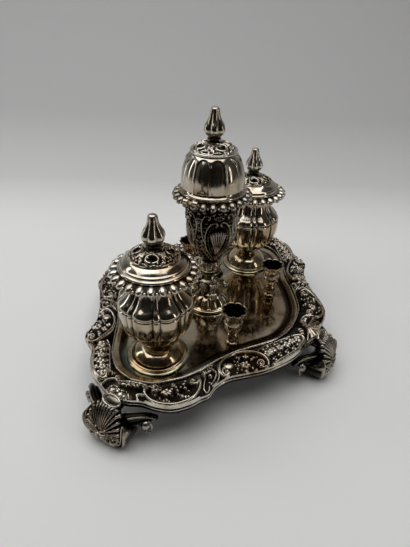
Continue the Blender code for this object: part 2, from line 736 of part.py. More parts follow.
def build_lobed_shell(name, profile, fade_radius, finish, parts, place):
    """A closed profile turned with the inkwell's wide and narrow lobes, which fade near the axis."""
    rings = []
    for radius, height in profile:
        share = 1.0 if fade_radius == 0.0 else max(min((radius - fade_radius) / fade_radius, 1.0), 0.0)
        rings.append(lobed_ring(radius, height, BODY_LOBES, BODY_LOBE_SHARES, BODY_LOBE_DEPTH * share))
    return fluted(name, rings, finish, parts, place)


def build_collar(name, hole, low, finish, parts, place):
    """A flat collar with a row of large beads round its edge."""
    steps = 2 * COLLAR_BEADS
    wave = bead_wave(COLLAR_BEADS)
    middle = COLLAR_RADIUS - COLLAR_BEAD_RADIUS
    bead_height = low + COLLAR_BEAD_RADIUS
    high = low + COLLAR_HEIGHT
    rings = [
        ring(hole, high, steps, wave, 0.0),
        ring(COLLAR_LAND_RADIUS, high, steps, wave, 0.0),
        ring(middle, bead_height + COLLAR_BEAD_RADIUS, steps, wave, 0.0, COLLAR_BEAD_GROOVE),
        ring(COLLAR_RADIUS, bead_height, steps, wave, COLLAR_BEAD_GROOVE),
        ring(hole, low, steps, wave, 0.0),
    ]
    return fluted(name, rings, finish, parts, place)


def build_liner(name, seat, finish, parts, place):
    """A glass pot that hangs by its flange on the collar."""
    top = seat + LINER_FLANGE
    low = seat - LINER_BELOW_COLLAR
    inner = LINER_RADIUS - LINER_WALL
    profile = [
        (inner, top), (LINER_FLANGE_RADIUS, top), (LINER_FLANGE_RADIUS, seat), (LINER_RADIUS, seat),
        (LINER_RADIUS, low + LINER_WALL), (LINER_RADIUS - LINER_WALL / 2.0, low), (0.0, low),
    ]
    profile = [(0.0, low + LINER_WALL), (inner, low + LINER_WALL)] + profile
    return turned(name, profile, LINER_STEPS, finish, parts, place, closed=False)


def build_finial(tag, seat, wall, finishes, parts, place):
    """A lobed bud finial on a stud through the cover, and its nut inside."""
    steps = 2 * FINIAL_LOBES
    wave = bead_wave(FINIAL_LOBES)
    low = seat + SEAT_GAP
    rings = [
        ring(FINIAL_RADIUS * r, low + FINIAL_HEIGHT * h, steps, wave, FINIAL_LOBE_DEPTH * lobe)
        for r, h, lobe in FINIAL_SHARES
    ]
    nut_top = seat - wall - SEAT_GAP
    stud_end = nut_top - FINIAL_NUT_HEIGHT - FINIAL_STUD_END
    rings += [
        ring(FINIAL_STUD_RADIUS, height, steps, wave, 0.0) for height in (low, stud_end)
    ]
    fluted(f"{tag}_finial", rings, finishes["silver"], parts, place, closed=False)
    build_nut(
        f"{tag}_finial_nut", FINIAL_STUD_RADIUS, FINIAL_NUT_RADIUS, FINIAL_NUT_HEIGHT, nut_top,
        finishes["brass"], parts, place,
    )


def nut_profile(stud, radius, height, top):
    """The profile of a six-sided nut with running room for its stud."""
    bore = (stud + SEAT_GAP) / math.cos(math.pi / NUT_SIDES)
    return [(bore, top), (radius, top), (radius, top - height), (bore, top - height)]


def build_nut(name, stud, radius, height, top, finish, parts, place):
    """A six-sided nut."""
    return turned(name, nut_profile(stud, radius, height, top), NUT_SIDES, finish, parts, place)


def build_stud(tag, head_seat, finishes, parts, place):
    """The bolt from a vessel's bottom through its foot and the pan, and the nut underneath."""
    top = head_seat + SEAT_GAP + STUD_HEAD_HEIGHT
    nut_top = -SHEET - SEAT_GAP
    end = nut_top - NUT_HEIGHT - STUD_END
    profile = [
        (0.0, top), (STUD_HEAD_RADIUS, top), (STUD_HEAD_RADIUS, head_seat + SEAT_GAP),
        (STUD_RADIUS, head_seat + SEAT_GAP), (STUD_RADIUS, end), (0.0, end),
    ]
    turned(f"{tag}_bolt", profile, STUD_STEPS, finishes["brass"], parts, place, closed=False)
    build_nut(f"{tag}_nut", STUD_RADIUS, NUT_RADIUS, NUT_HEIGHT, nut_top, finishes["brass"], parts, place)


def build_vase(parts, cutters, finishes):
    """The centre vase: lobed base, scroll stem, knop, leaf cup and beaded collar."""
    place = Vector((0.0, 0.0, FLOOR_HEIGHT))
    silver = finishes["silver"]
    cast = finishes["cast"]
    wave = bead_wave(VASE_BASE_LOBES)
    base = scaled(VASE_BASE_SHARES, VASE_BASE_RADIUS, SEAT_GAP, VASE_BASE_HEIGHT)
    rings = [
        ring(radius, height, 2 * VASE_BASE_LOBES, wave, VASE_BASE_LOBE_DEPTH * share[2])
        for (radius, height), share in zip(base, VASE_BASE_SHARES)
    ]
    for height in (SEAT_GAP, VASE_BASE_HEIGHT):
        rings.append(ring(VASE_BORE_RADIUS, height, 2 * VASE_BASE_LOBES, wave, 0.0))
    fluted("vase_base", rings, silver, parts, place)
    stem = scaled(VASE_STEM_SHARES, VASE_STEM_RADIUS, VASE_BASE_HEIGHT + SEAT_GAP, VASE_STEM_HEIGHT)
    stem += [(VASE_BORE_RADIUS, stem[-1][1]), (VASE_BORE_RADIUS, stem[0][1])]
    stem_piece = turned("vase_stem", stem, STEM_STEPS, cast, parts, place)
    for number in range(SCROLL_COUNT):
        turn = Matrix.Rotation(2.0 * math.pi * (number + 0.5) / SCROLL_COUNT, 4, "Z")
        upright = Matrix.Rotation(QUARTER_TURN, 4, "X")
        low = FLOOR_HEIGHT + VASE_BASE_HEIGHT + SEAT_GAP
        outline = [
            (SCROLL_ROOT + (SCROLL_REACH - SCROLL_ROOT) * r, SCROLL_HEIGHT * h) for r, h in SCROLL_SHARES
        ]
        matrix = Matrix.Translation((0.0, 0.0, low)) @ turn @ upright
        scroll = plate(f"join_scroll_{number}", outline, SCROLL_THICKNESS, cast, cutters, matrix)
        join(stem_piece, as_guide(scroll))
    knop = scaled(
        VASE_KNOP_SHARES, VASE_KNOP_RADIUS, VASE_STEM_HEIGHT + SEAT_GAP, VASE_KNOP_HEIGHT,
    )
    knop += [(VASE_BORE_RADIUS, knop[-1][1]), (VASE_BORE_RADIUS, knop[0][1])]
    turned("vase_knop", knop, STEM_STEPS, cast, parts, place)
    cup_low = VASE_KNOP_HEIGHT + SEAT_GAP
    cup = scaled(VASE_CUP_SHARES, VASE_CUP_RADIUS, cup_low, VASE_CUP_HEIGHT)
    reliefs = relief_shares([share[2] for share in VASE_CUP_SHARES], 1)
    shell = pierced_shell(cup, VESSEL_WALL, VASE_BORE_RADIUS, 1)
    rings = [
        lobed_ring(radius, height, VASE_LEAVES, VASE_LEAF_SHARES, VASE_LEAF_RELIEF * relief)
        for (radius, height), relief in zip(shell, reliefs)
    ]
    fluted("vase_cup", rings, cast, parts, place)
    collar_low = VASE_CUP_HEIGHT + SEAT_GAP
    collar = build_collar("vase_collar", VASE_MOUTH_RADIUS, collar_low, cast, parts, place)
    build_stud("vase", cup_low + VESSEL_WALL, finishes, parts, place)
    build_cover(collar, collar_low + COLLAR_HEIGHT, parts, cutters, finishes)


def relief_shares(outer, step=INNER_POINT_STEP):
    """How much relief each ring of a pierced shell has, from the shares of its outer profile."""
    inner = [outer[i] for i in kept_points(len(outer), step)][::-1]
    return outer + [0.0, 0.0] + inner


def knuckle_outline(root_x, root_low, root_high):
    """A lug in side view: a round end on the hinge axis and a root on the piece that carries it."""
    points = []
    for step in range(HINGE_STEPS + 1):
        angle = 3.0 * QUARTER_TURN - math.pi * step / HINGE_STEPS
        points.append((HINGE_RADIUS * math.cos(angle), HINGE_RADIUS * math.sin(angle)))
    return points + [(root_x, root_high), (root_x, root_low)]


def build_cover(collar, land, parts, cutters, finishes):
    """The hinged dome: lobed dome, cap plate, finial, and the hinge on the collar's -X side."""
    place = Vector((0.0, 0.0, FLOOR_HEIGHT))
    low = land + SEAT_GAP
    wave = flute_wave(DOME_LOBES)
    outer = [(DOME_RADIUS * r, low + DOME_HEIGHT * h) for r, h, _ in DOME_SHARES]
    inner = pierced_shell(outer, VESSEL_WALL, FINIAL_BORE_RADIUS)
    lobe_shares = relief_shares([share[2] for share in DOME_SHARES])
    rings = [
        ring(radius, height, DOME_STEPS, wave, DOME_LOBE_DEPTH * lobe)
        for (radius, height), lobe in zip(inner, lobe_shares)
    ]
    dome = fluted("cover_dome", rings, finishes["silver"], parts, place)
    cap_low = low + DOME_HEIGHT + SEAT_GAP
    cap = scaled(CAP_SHARES, CAP_RADIUS, cap_low, cap_low + CAP_HEIGHT)
    cap = [(FINIAL_BORE_RADIUS, cap[0][1])] + cap + [(FINIAL_BORE_RADIUS, cap_low)]
    turned("cover_cap", cap, LID_STEPS, finishes["cast"], parts, place)
    build_finial("cover", cap_low + CAP_HEIGHT, CAP_HEIGHT + SEAT_GAP + VESSEL_WALL, finishes, parts, place)
    axis = hinge_axis()
    upright = Matrix.Rotation(QUARTER_TURN, 4, "X")
    reach = -axis.x - DOME_RADIUS + VESSEL_WALL
    arm_low = low + FLOOR_HEIGHT - axis.z
    lug = plate(
        "join_cover_knuckle", knuckle_outline(reach, arm_low, arm_low + HINGE_ARM), HINGE_KNUCKLE,
        finishes["silver"], cutters, Matrix.Translation(axis) @ upright,
    )
    join(dome, as_guide(lug))
    for side in (-1.0, 1.0):
        shift = Vector((0.0, side * (HINGE_KNUCKLE + RUNNING_GAP), 0.0))
        outline = knuckle_outline(HINGE_LUG_REACH, -HINGE_LUG_DROP - HINGE_RADIUS, -HINGE_LUG_DROP)
        lug = plate(
            f"join_collar_knuckle_{side:+.0f}", outline, HINGE_KNUCKLE, finishes["cast"], cutters,
            Matrix.Translation(axis + shift) @ upright,
        )
        join(collar, as_guide(lug))
    pin_length = 3.0 * HINGE_KNUCKLE + 2.0 * RUNNING_GAP
    hole = rod(
        "cut_hinge_pin", HINGE_PIN_RADIUS + RUNNING_GAP, pin_length + 2.0 * CUT_OVERRUN, HINGE_STEPS,
        finishes["brass"], cutters, axis, upright,
    )
    as_guide(hole)
    cut(dome, hole)
    cut(collar, hole)
    rod("hinge_pin", HINGE_PIN_RADIUS, pin_length, HINGE_STEPS, finishes["brass"], parts, axis, upright)


def hinge_axis():
    """A point on the cover's hinge axis, which runs along Y."""
    land = FLOOR_HEIGHT + VASE_CUP_HEIGHT + SEAT_GAP + COLLAR_HEIGHT
    return Vector((-(COLLAR_RADIUS + HINGE_OFFSET), 0.0, land + HINGE_LIFT))


def build_pen_cups(parts, finishes):
    """Four flared pen cups with scalloped mouths, and the nuts that hold them."""
    wave = bead_wave(PEN_CUP_LOBES)
    mouth = PEN_CUP_HEIGHT - PEN_CUP_BORE_DEPTH * BORE_FLARE_SHARE
    nut_top = -SHEET - SEAT_GAP
    places = [(sx * PEN_CUP_X, sy * PEN_CUP_Y) for sx in (-1.0, 1.0) for sy in (-1.0, 1.0)]
    for number, (x, y) in enumerate(places, 1):
        place = Vector((x, y, FLOOR_HEIGHT))
        rings = [
            ring(PEN_CUP_BORE, PEN_CUP_HEIGHT - PEN_CUP_BORE_DEPTH, PEN_CUP_STEPS, wave, 0.0),
            ring(PEN_CUP_BORE, mouth, PEN_CUP_STEPS, wave, 0.0),
            ring(PEN_CUP_RADIUS - PEN_CUP_LIP, PEN_CUP_HEIGHT, PEN_CUP_STEPS, wave, PEN_CUP_SCALLOP),
        ]
        for row, (radius, height) in enumerate(
            scaled(PEN_CUP_SHARES, PEN_CUP_RADIUS, SEAT_GAP, PEN_CUP_HEIGHT)
        ):
            scallop = PEN_CUP_SCALLOP if row == 0 else 0.0
            rings.append(ring(radius, height, PEN_CUP_STEPS, wave, scallop))
        end = nut_top - NUT_HEIGHT - STUD_END
        rings += [ring(STUD_RADIUS, height, PEN_CUP_STEPS, wave, 0.0) for height in (SEAT_GAP, end)]
        fluted(f"pen_cup_{number}", rings, finishes["silver"], parts, place, closed=False)
        build_nut(
            f"pen_cup_nut_{number}", STUD_RADIUS, NUT_RADIUS, NUT_HEIGHT, nut_top, finishes["brass"],
            parts, place,
        )


def main():
    """Build the whole inkstand."""
    clear_scene()
    parts = collection("desk_inkstand")
    cutters = collection("cutters")
    finishes = {
        "silver": material("silver_plate", SILVER, 0.22),
        "cast": material("cast_silver", AGED_SILVER, 0.35),
        "brass": material("brass", BRASS, 0.4),
        "glass": material("clear_glass", GLASS, 0.05, 0.0, 0.35),
    }
    build_pan(parts, cutters, finishes["silver"])
    build_border(parts, finishes["cast"])
    for number in range(1, 5):
        build_foot(number, parts, cutters, finishes["cast"])
    build_inkwell("a", -INKWELL_X, parts, finishes)
    build_inkwell("b", INKWELL_X, parts, finishes)
    build_vase(parts, cutters, finishes)
    build_pen_cups(parts, finishes)


main()
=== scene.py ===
"""Looks for the silver-plated desk inkstand: ornament, finishes, studio and camera.

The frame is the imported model's: +Z up, the tray's long axis along X, and the writer's
side towards -Y. Shapes are drawn in millimetres and turn into metres in make_piece.
The camera, the stage, the lamps and the materials are in metres.
"""

import math
import random

import bmesh
import bpy
import numpy as np
from mathutils import Matrix, Vector

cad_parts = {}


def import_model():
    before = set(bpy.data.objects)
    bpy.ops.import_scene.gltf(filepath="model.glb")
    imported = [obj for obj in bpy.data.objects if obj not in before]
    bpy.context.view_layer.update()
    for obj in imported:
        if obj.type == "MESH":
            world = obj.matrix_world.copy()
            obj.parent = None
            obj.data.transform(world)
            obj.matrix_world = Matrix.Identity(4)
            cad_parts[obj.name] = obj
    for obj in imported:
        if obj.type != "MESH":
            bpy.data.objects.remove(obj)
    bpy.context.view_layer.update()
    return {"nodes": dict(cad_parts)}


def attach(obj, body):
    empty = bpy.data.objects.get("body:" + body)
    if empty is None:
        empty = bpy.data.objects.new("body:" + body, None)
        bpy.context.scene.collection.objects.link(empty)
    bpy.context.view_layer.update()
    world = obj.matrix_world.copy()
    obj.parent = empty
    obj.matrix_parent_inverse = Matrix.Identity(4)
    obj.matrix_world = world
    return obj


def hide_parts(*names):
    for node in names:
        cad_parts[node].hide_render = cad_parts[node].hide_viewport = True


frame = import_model()

MM = 0.001
TURN = 2.0 * math.pi
UP = Vector((0.0, 0.0, 1.0))
SIDES = (-1.0, 1.0)

# The tray's plan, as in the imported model: each bulge is a table of (place, share) along a side
FLOOR = 29.0
FLANGE = 31.2
BORDER_SEAT = 31.5
RIM_HALF = (130.0, 98.0)
WELL_HALF = (110.0, 75.0)
RIM_BULGE = 24.0
WELL_BULGE = 14.0
RIM_SHARES = (
    ((0.0, 0.0), (0.05, 0.26), (0.1, 0.44), (0.145, 0.72), (0.2, 0.95), (0.275, 1.0), (0.33, 0.93), (0.365, 0.9),
     (0.41, 0.68), (0.48, 0.55), (0.56, 0.61), (0.64, 0.67), (0.74, 0.62), (0.84, 0.43), (0.9, 0.2), (0.95, 0.1),
     (1.0, 0.0)),
    ((0.0, 0.0), (0.05, 0.1), (0.09, 0.3), (0.15, 0.55), (0.22, 0.61), (0.31, 0.57), (0.4, 0.55), (0.48, 0.56),
     (0.55, 0.7), (0.62, 0.9), (0.66, 0.8), (0.72, 0.65), (0.8, 0.66), (0.86, 0.58), (0.92, 0.34), (0.96, 0.18),
     (1.0, 0.0)),
)
WELL_SHARES = (
    ((0.0, 0.0), (0.09, 0.68), (0.19, 0.89), (0.28, 0.96), (0.38, 0.82), (0.48, 0.59), (0.6, 0.46), (0.7, 0.5),
     (0.8, 0.54), (0.9, 0.44), (1.0, 0.0)),
    ((0.0, 0.0), (0.1, 0.54), (0.2, 0.86), (0.38, 0.96), (0.55, 0.89), (0.7, 1.0), (0.8, 1.0), (0.92, 0.68),
     (1.0, 0.0)),
)
INKWELLS = {"a": -77.0, "b": 77.0}

# The photograph's view, in metres and degrees
CAMERA_PLACE = (-0.278, -0.1455, 0.2603)
CAMERA_PITCH = 32.94
CAMERA_ROLL = 1.68
VIEW_AHEAD = Vector((0.880, 0.474, 0.0)).normalized()
VIEW_RIGHT = Vector((VIEW_AHEAD.y, -VIEW_AHEAD.x, 0.0))


class Shape:
    """Points in millimetres, faces and tones of one mesh; a tone is 0 in a recess and 1 on a crest, and the finishes
    paint shade from it.
    """

    def __init__(self):
        self.points = []
        self.faces = []
        self.tones = []

    def add(self, points, faces, tones):
        """Add a patch with its own numbering."""
        start = len(self.points)
        self.points.extend(tuple(point) for point in points)
        self.tones.extend([tones] * len(points) if isinstance(tones, float) else tones)
        self.faces.extend(tuple(start + i for i in face) for face in faces)


def make_piece(name, shape, finish, body="stand", stands_for=None, sharp=50.0):
    """A piece of the scene from a gathered shape, with its tones as an attribute."""
    mesh = bpy.data.meshes.new(name)
    mesh.from_pydata([tuple(value * MM for value in point) for point in shape.points], [], shape.faces)
    work = bmesh.new()
    work.from_mesh(mesh)
    bmesh.ops.recalc_face_normals(work, faces=work.faces)
    work.to_mesh(mesh)
    work.free()
    attribute = mesh.attributes.new("tone", "FLOAT", "POINT")
    attribute.data.foreach_set("value", np.array(shape.tones, np.float32))
    mesh.shade_smooth()
    mesh.set_sharp_from_angle(angle=math.radians(sharp))
    mesh.materials.append(finish)
    piece = bpy.data.objects.new(name, mesh)
    bpy.context.scene.collection.objects.link(piece)
    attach(piece, body)
    if stands_for:
        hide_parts(stands_for)


def grid_faces(rows, columns, wrap_rows=False, wrap_columns=False):
    """Quads of a grid of points laid out row by row."""
    faces = []
    for row in range(rows if wrap_rows else rows - 1):
        here, below = row * columns, (row + 1) % rows * columns
        for column in range(columns if wrap_columns else columns - 1):
            right = (column + 1) % columns
            faces.append((here + column, here + right, below + right, below + column))
    return faces


def slab_faces(rows, columns):
    """Faces of a closed slab whose front grid of points is followed by its back grid."""
    back = rows * columns
    front = grid_faces(rows, columns)
    edges = [(r * columns + c, (r + 1) * columns + c) for r in range(rows - 1) for c in (0, columns - 1)]
    edges += [(r * columns + c, r * columns + c + 1) for r in (0, rows - 1) for c in range(columns - 1)]
    faces = front + [tuple(back + k for k in face[::-1]) for face in front]
    return faces + [(a, b, back + b, back + a) for a, b in edges]


def circle(count, start=0.0):
    """Angles spread evenly round a full turn, with the first one again at the end."""
    return [start + TURN * k / count for k in range(count + 1)]


def hermite(u, start, leave, end, arrive):
    """A smooth step from start to end, with the rises that it leaves and arrives with."""
    return (
        start * (1.0 + 2.0 * u) * (1.0 - u) ** 2 + leave * u * (1.0 - u) ** 2
        + end * u * u * (3.0 - 2.0 * u) + arrive * u * u * (u - 1.0)
    )


def read_curve(table, t):
    """A smooth value between the (place, value) points of a table."""
    last = len(table) - 1
    i = 0
    while i < last - 1 and t > table[i + 1][0]:
        i += 1
    start, end = table[i], table[i + 1]
    before, after = table[max(i - 1, 0)], table[min(i + 2, last)]
    span = end[0] - start[0]
    leave = (end[1] - before[1]) / (end[0] - before[0]) * span
    arrive = (after[1] - start[1]) / (after[0] - start[0]) * span
    return hermite((t - start[0]) / span, start[1], leave, end[1], arrive)


def smooth_path(points, steps):
    """A smooth line through a few points, with steps between each two."""
    points = [Vector(point) for point in points]
    last = len(points) - 1
    path = []
    for i in range(last):
        start, end = points[i], points[i + 1]
        leave = (end - points[max(i - 1, 0)]) * 0.5
        arrive = (points[min(i + 2, last)] - start) * 0.5
        path += [hermite(step / steps, start, leave, end, arrive) for step in range(steps)]
    return path + [points[-1]]


def fade(value, low, high):
    """A smooth rise from 0 at low to 1 at high."""
    u = max(0.0, min(1.0, (value - low) / (high - low)))
    return u * u * (3.0 - 2.0 * u)


def contour(*runs, steps=5):
    """A line of (radius, height) through runs of points, smooth in each run of more than two."""
    line = []
    for run in runs:
        points = [Vector((*point, 0.0)) for point in run]
        line += points if len(run) == 2 else smooth_path(points, steps)
    return [(max(point.x, 0.0), point.y) for point in line]


def toned(line, tone):
    """Rows of (radius, height, tone) from a line of (radius, height)."""
    return [(radius, height, tone) for radius, height in line]


def shell_rows(line, wall):
    """A closed profile: an outer line and the same line set in by a wall, the inner line toned 0.1 as painted shade.
    """
    inner = [(max(radius - wall, 0.0), height, 0.1) for radius, height in line]
    inner[0] = (inner[0][0], inner[0][1] + wall * 0.5, 0.1)
    return toned(line, 0.8) + inner[::-1]


def turned(shape, rows, steps, place, relief=None):
    """Add a turned body from a closed profile; relief(angle, i) gives a push, a lift and a shade."""
    points, tones = [], []
    for i, (radius, height, tone) in enumerate(rows):
        for step in range(steps):
            angle = TURN * step / steps
            push, lift, shade = relief(angle, i) if relief else (0.0, 0.0, 0.0)
            reach = max(radius + push, 0.0)
            points.append((place[0] + reach * math.cos(angle), place[1] + reach * math.sin(angle),
                           place[2] + height + lift))
            tones.append(max(0.0, min(1.0, tone + shade)))
    shape.add(points, grid_faces(len(rows), steps, True, True), tones)


def tube(shape, path, radius, sides=8, flat=1.0, tone=1.0, up=UP):
    """A bead moulding swept along a path, as high over its path as flat says, with closed ends."""
    last = len(path) - 1
    points = []
    for i, point in enumerate(path):
        along = (path[min(i + 1, last)] - path[max(i - 1, 0)]).normalized()
        across = along.cross(up)
        across = across.normalized() if across.length > 1e-6 else Vector((1.0, 0.0, 0.0))
        over = across.cross(along).normalized()
        size = radius(i / last) if callable(radius) else radius
        size *= min(1.0, i / 3.0 + 0.3, (last - i) / 3.0 + 0.3)
        for angle in circle(sides)[:-1]:
            points.append(point + across * size * math.cos(angle) + over * size * flat * math.sin(angle))
    faces = grid_faces(last + 1, sides, wrap_columns=True)
    faces += [tuple(range(sides)), tuple(range(last * sides, (last + 1) * sides))]
    shape.add(points, faces, tone)


def lump(shape, centre, along, length, width, height, up=UP, tone=1.0, sides=10, rows=6):
    """A rounded lump, such as a bead or a plate."""
    along = along - up * along.dot(up)
    along = along.normalized() if along.length > 1e-9 else Vector((1.0, 0.0, 0.0))
    across = up.cross(along).normalized()
    points = [centre + along * length / 2.0]
    for row in range(1, rows):
        polar = math.pi * row / rows
        reach = math.sin(polar)
        for angle in circle(sides)[:-1]:
            points.append(
                centre + along * length / 2.0 * math.cos(polar)
                + across * width / 2.0 * reach * math.cos(angle) + up * height * reach * math.sin(angle)
            )
    points.append(centre - along * length / 2.0)
    last = len(points) - 1
    start = 1 + (rows - 2) * sides
    faces = []
    for side in range(sides):
        other = (side + 1) % sides
        faces += [(0, 1 + side, 1 + other), (last, start + other, start + side)]
    faces += [tuple(1 + k for k in face) for face in grid_faces(rows - 1, sides, wrap_columns=True)]
    shape.add(points, faces, tone)


def bead(shape, centre, radius, up=UP, tone=1.0, sides=12, rows=8):
    """A round bead."""
    lump(shape, centre, Vector((up.y, up.z, up.x)), 2.0 * radius, 2.0 * radius, radius, up, tone, sides, rows)


def leaf(shape, spine, width, up, tone):
    """A chased leaf along a spine: three lobes a side with edges that curl up, and a sunk vein."""
    last = len(spine) - 1
    columns = 12
    fronts, backs, tones = [], [], []
    for i, point in enumerate(spine):
        u = i / last
        along = (spine[min(i + 1, last)] - spine[max(i - 1, 0)]).normalized()
        across = along.cross(up).normalized()
        over = across.cross(along).normalized()
        full = math.sin(math.pi * min(u * 0.92 + 0.08, 1.0) ** 0.8)
        half = width / 2.0 * full * (0.72 + 0.28 * abs(math.sin(math.pi * 3.0 * u))) + 0.05
        for column in range(columns + 1):
            v = 2.0 * column / columns - 1.0
            crease = width * 0.066 * (abs(math.sin(math.pi * (3.0 * u + 0.8 * abs(v)))) - 0.5)
            crown = width * (0.16 * (1.0 - v * v) + 0.06 * v * v - 0.1 * math.exp(-(v / 0.12) ** 2))
            height = (crown + crease * abs(v)) * (0.35 + 0.65 * full)
            fronts.append(point + across * half * v + over * height)
            backs.append(fronts[-1] - over * width * 0.16)
            # Painted shade: the tone rises with the leaf's height, and its back is toned 0.
            tones.append(max(0.0, min(1.0, tone * (0.35 + 0.65 * min(1.0, height / (0.2 * width) + 0.3)))))
    shape.add(fronts + backs, slab_faces(last + 1, columns + 1), tones + [0.0] * len(backs))


class Chasing:
    """A surface raised by ridges and bosses on a grid of flat places, with a tone that paints shade: low on the ground
    and on a form's flanks, high on its crest.

    Ornament is drawn at places that self.at turns into flat ones.
    """

    def __init__(self, flat, form, tone):
        self.flat = flat
        self.form = form
        self.height = form.copy()
        self.tone = np.full(form.shape, tone)
        self.at = lambda u, v: (u, v)
        self.steps = 6

    def smooth(self, places, steps):
        """A smooth flat path through places."""
        return smooth_path([(*self.at(*place), 0.0) for place in places], steps)

    def scroll(self, places, width, rise, tone=1.0, steps=None, taper=0.0):
        """Raise a rounded ridge along a smooth line through places."""
        self.raise_ridge(self.smooth(places, steps or self.steps), width, rise, tone, 0.0, taper)

    def ridge(self, places, width, rise, tone=1.0, level=0.0):
        """Raise a rounded ridge straight from place to place."""
        self.raise_ridge([self.at(*place) for place in places], width, rise, tone, level)

    def boss(self, place, length, width, rise, turn=0.0, tone=1.0):
        """Raise one rounded boss."""
        self.raise_boss(self.at(*place), length, width, rise, turn, tone)

    def raise_ridge(self, path, width, rise, tone=1.0, level=0.0, taper=0.0):
        """Raise a ridge along a flat path; width may be a function of the share along it."""
        line = np.array([(point[0], point[1]) for point in path])
        widest = width(np.linspace(0.0, 1.0, 9)).max() if callable(width) else width
        low, high = line.min(axis=0) - widest / 2.0, line.max(axis=0) + widest / 2.0
        inside = np.all((self.flat >= low) & (self.flat <= high), axis=2)
        if not inside.any():
            return
        points = self.flat[inside]
        start = line[:-1]
        run = line[1:] - start
        length = np.maximum((run ** 2).sum(axis=1), 1e-9)
        along = np.clip(((points[:, None, :] - start) * run).sum(axis=2) / length, 0.0, 1.0)
        gap = np.linalg.norm(points[:, None, :] - (start + along[:, :, None] * run), axis=2)
        nearest = gap.argmin(axis=1)
        share = (nearest + along[np.arange(len(points)), nearest]) / len(run)
        size = (width(share) if callable(width) else width) / 2.0 * (1.0 - taper * share)
        near = np.clip(1.0 - (gap.min(axis=1) / size) ** 2, 0.0, 1.0) ** 0.5
        self.lift(inside, near, rise * (1.0 - 0.5 * taper * share), tone, level)

    def raise_boss(self, spot, length, width, rise, turn=0.0, tone=1.0):
        """Raise a boss at a flat spot."""
        inside = np.all(np.abs(self.flat - np.array(spot)) <= max(length, width) / 2.0, axis=2)
        if not inside.any():
            return
        x, y = (self.flat[inside] - np.array(spot)).T
        u = (x * math.cos(turn) + y * math.sin(turn)) / (length / 2.0)
        v = (-x * math.sin(turn) + y * math.cos(turn)) / (width / 2.0)
        self.lift(inside, np.clip(1.0 - u * u - v * v, 0.0, 1.0) ** 0.5, rise, tone, 0.0)

    def lift(self, inside, near, rise, tone, level):
        """Raise the surface where a form stands higher than what is there."""
        ground, tones = self.height[inside], self.tone[inside]
        over = self.form[inside] + level + rise * near
        higher = (near > 0.0) & (over > ground)
        ground[higher] = over[higher]
        # Painted shade: a raised form is darker towards its flanks and brightest on its crest.
        tones[higher] = (tone * (0.3 + 0.7 * near))[higher]
        self.height[inside], self.tone[inside] = ground, tones

    def flower(self, place, radius, petals, rise, turn):
        """A small open flower of petals about an eye."""
        x, y = self.at(*place)
        for petal in range(petals):
            angle = turn + TURN * petal / petals
            spot = (x + radius * 0.6 * math.cos(angle), y + radius * 0.6 * math.sin(angle))
            self.raise_boss(spot, radius * 0.85, radius * 3.9 / petals, rise * 0.75, angle)
        self.raise_boss((x, y), radius * 0.6, radius * 0.6, rise * 1.2)

    def volute(self, place, radius, start, side, width):
        """A scroll end that winds in to its eye, from a start in degrees."""
        x, y = self.at(*place)
        points = []
        for step in range(30):
            u = step / 29.0
            angle = math.radians(start) + side * TURN * 1.2 * u
            reach = radius * (1.0 - 0.8 * u)
            points.append((x + reach * math.cos(angle), y + reach * math.sin(angle)))
        self.raise_ridge(points, width, 2.5, 1.0, 0.0, 0.25)
        self.raise_boss((x, y), width * 1.3, width * 1.3, 3.125)

    def frond(self, places, width, rise, lobes, tone=0.9):
        """A leaf along places: paired lobes that lean forward from a raised spine."""
        line = self.smooth(places, 6)
        last = len(line) - 1
        for lobe in range(lobes):
            u = (lobe + 0.6) / lobes
            k = int(u * last)
            way = (line[min(k + 1, last)] - line[max(k - 1, 0)]).normalized()
            size = width * (0.35 + 0.65 * math.sin(math.pi * min(u * 0.85 + 0.12, 1.0)))
            for side in SIDES:
                angle = math.atan2(way.y, way.x) + side * 0.75
                spot = (line[k].x + size * 0.3 * math.cos(angle), line[k].y + size * 0.3 * math.sin(angle))
                self.raise_boss(spot, size * 0.72, width / lobes * 1.5, rise * 0.8, angle, tone)
        self.raise_ridge(line, width * 0.16, rise, tone, 0.0, 0.4)


def corners(half):
    """The corners of a lozenge, anticlockwise from the -X end."""
    return ((-half[0], 0.0), (0.0, -half[1]), (half[0], 0.0), (0.0, half[1]))


def side_point(index, t, half, bulge, tables):
    """A point on one side of a bulged lozenge."""
    start = Vector(corners(half)[index % 4])
    run = Vector(corners(half)[(index + 1) % 4]) - start
    outward = Vector((run.y, -run.x)).normalized()
    return start + run * t + outward * bulge * read_curve(tables[index % 2], min(max(t, 0.0), 1.0))


def plan(index, t, w):
    """A point of the border's plan: t runs along a side, and w is 0 at the well and 1 at the rim."""
    inner = side_point(index, t, WELL_HALF, WELL_BULGE, WELL_SHARES)
    outer = side_point(index, t, RIM_HALF, RIM_BULGE, RIM_SHARES)
    return inner + (outer - inner) * w


def corner_frame(index):
    """A corner of the border, and the ways outward and then anticlockwise round the tray."""
    place = Vector((*corners(RIM_HALF)[index % 4], 0.0))
    ahead = place.normalized()
    return place, ahead, UP.cross(ahead)


def body_wave(angle):
    """The inkwells' lobes: 1 on a wide lobe, 0 in a groove, a little less than 1 on a narrow strip."""
    share = (angle * 8.0 / TURN - 0.273) % 1.0
    wide = min(share, 1.0 - share) / 0.38
    if wide < 1.0:
        return (1.0 - wide ** 2.4) ** 0.75
    return 0.66 * (1.0 - min(abs(share - 0.5) / 0.12, 1.0) ** 2.0) ** 0.6


def lobed_body(line, place, strength):
    """A thin turned body with the inkwells' lobes, as strong as a function of height says."""
    rows = shell_rows(line, 1.0)
    shape = Shape()

    def relief(angle, i):
        share = strength(rows[i][1])
        wave = body_wave(angle)
        return (-2.2 * (1.0 - wave) * share, 0.0, -0.75 * share * (1.0 - wave) ** 3)

    turned(shape, rows, 256, place, relief)
    return shape


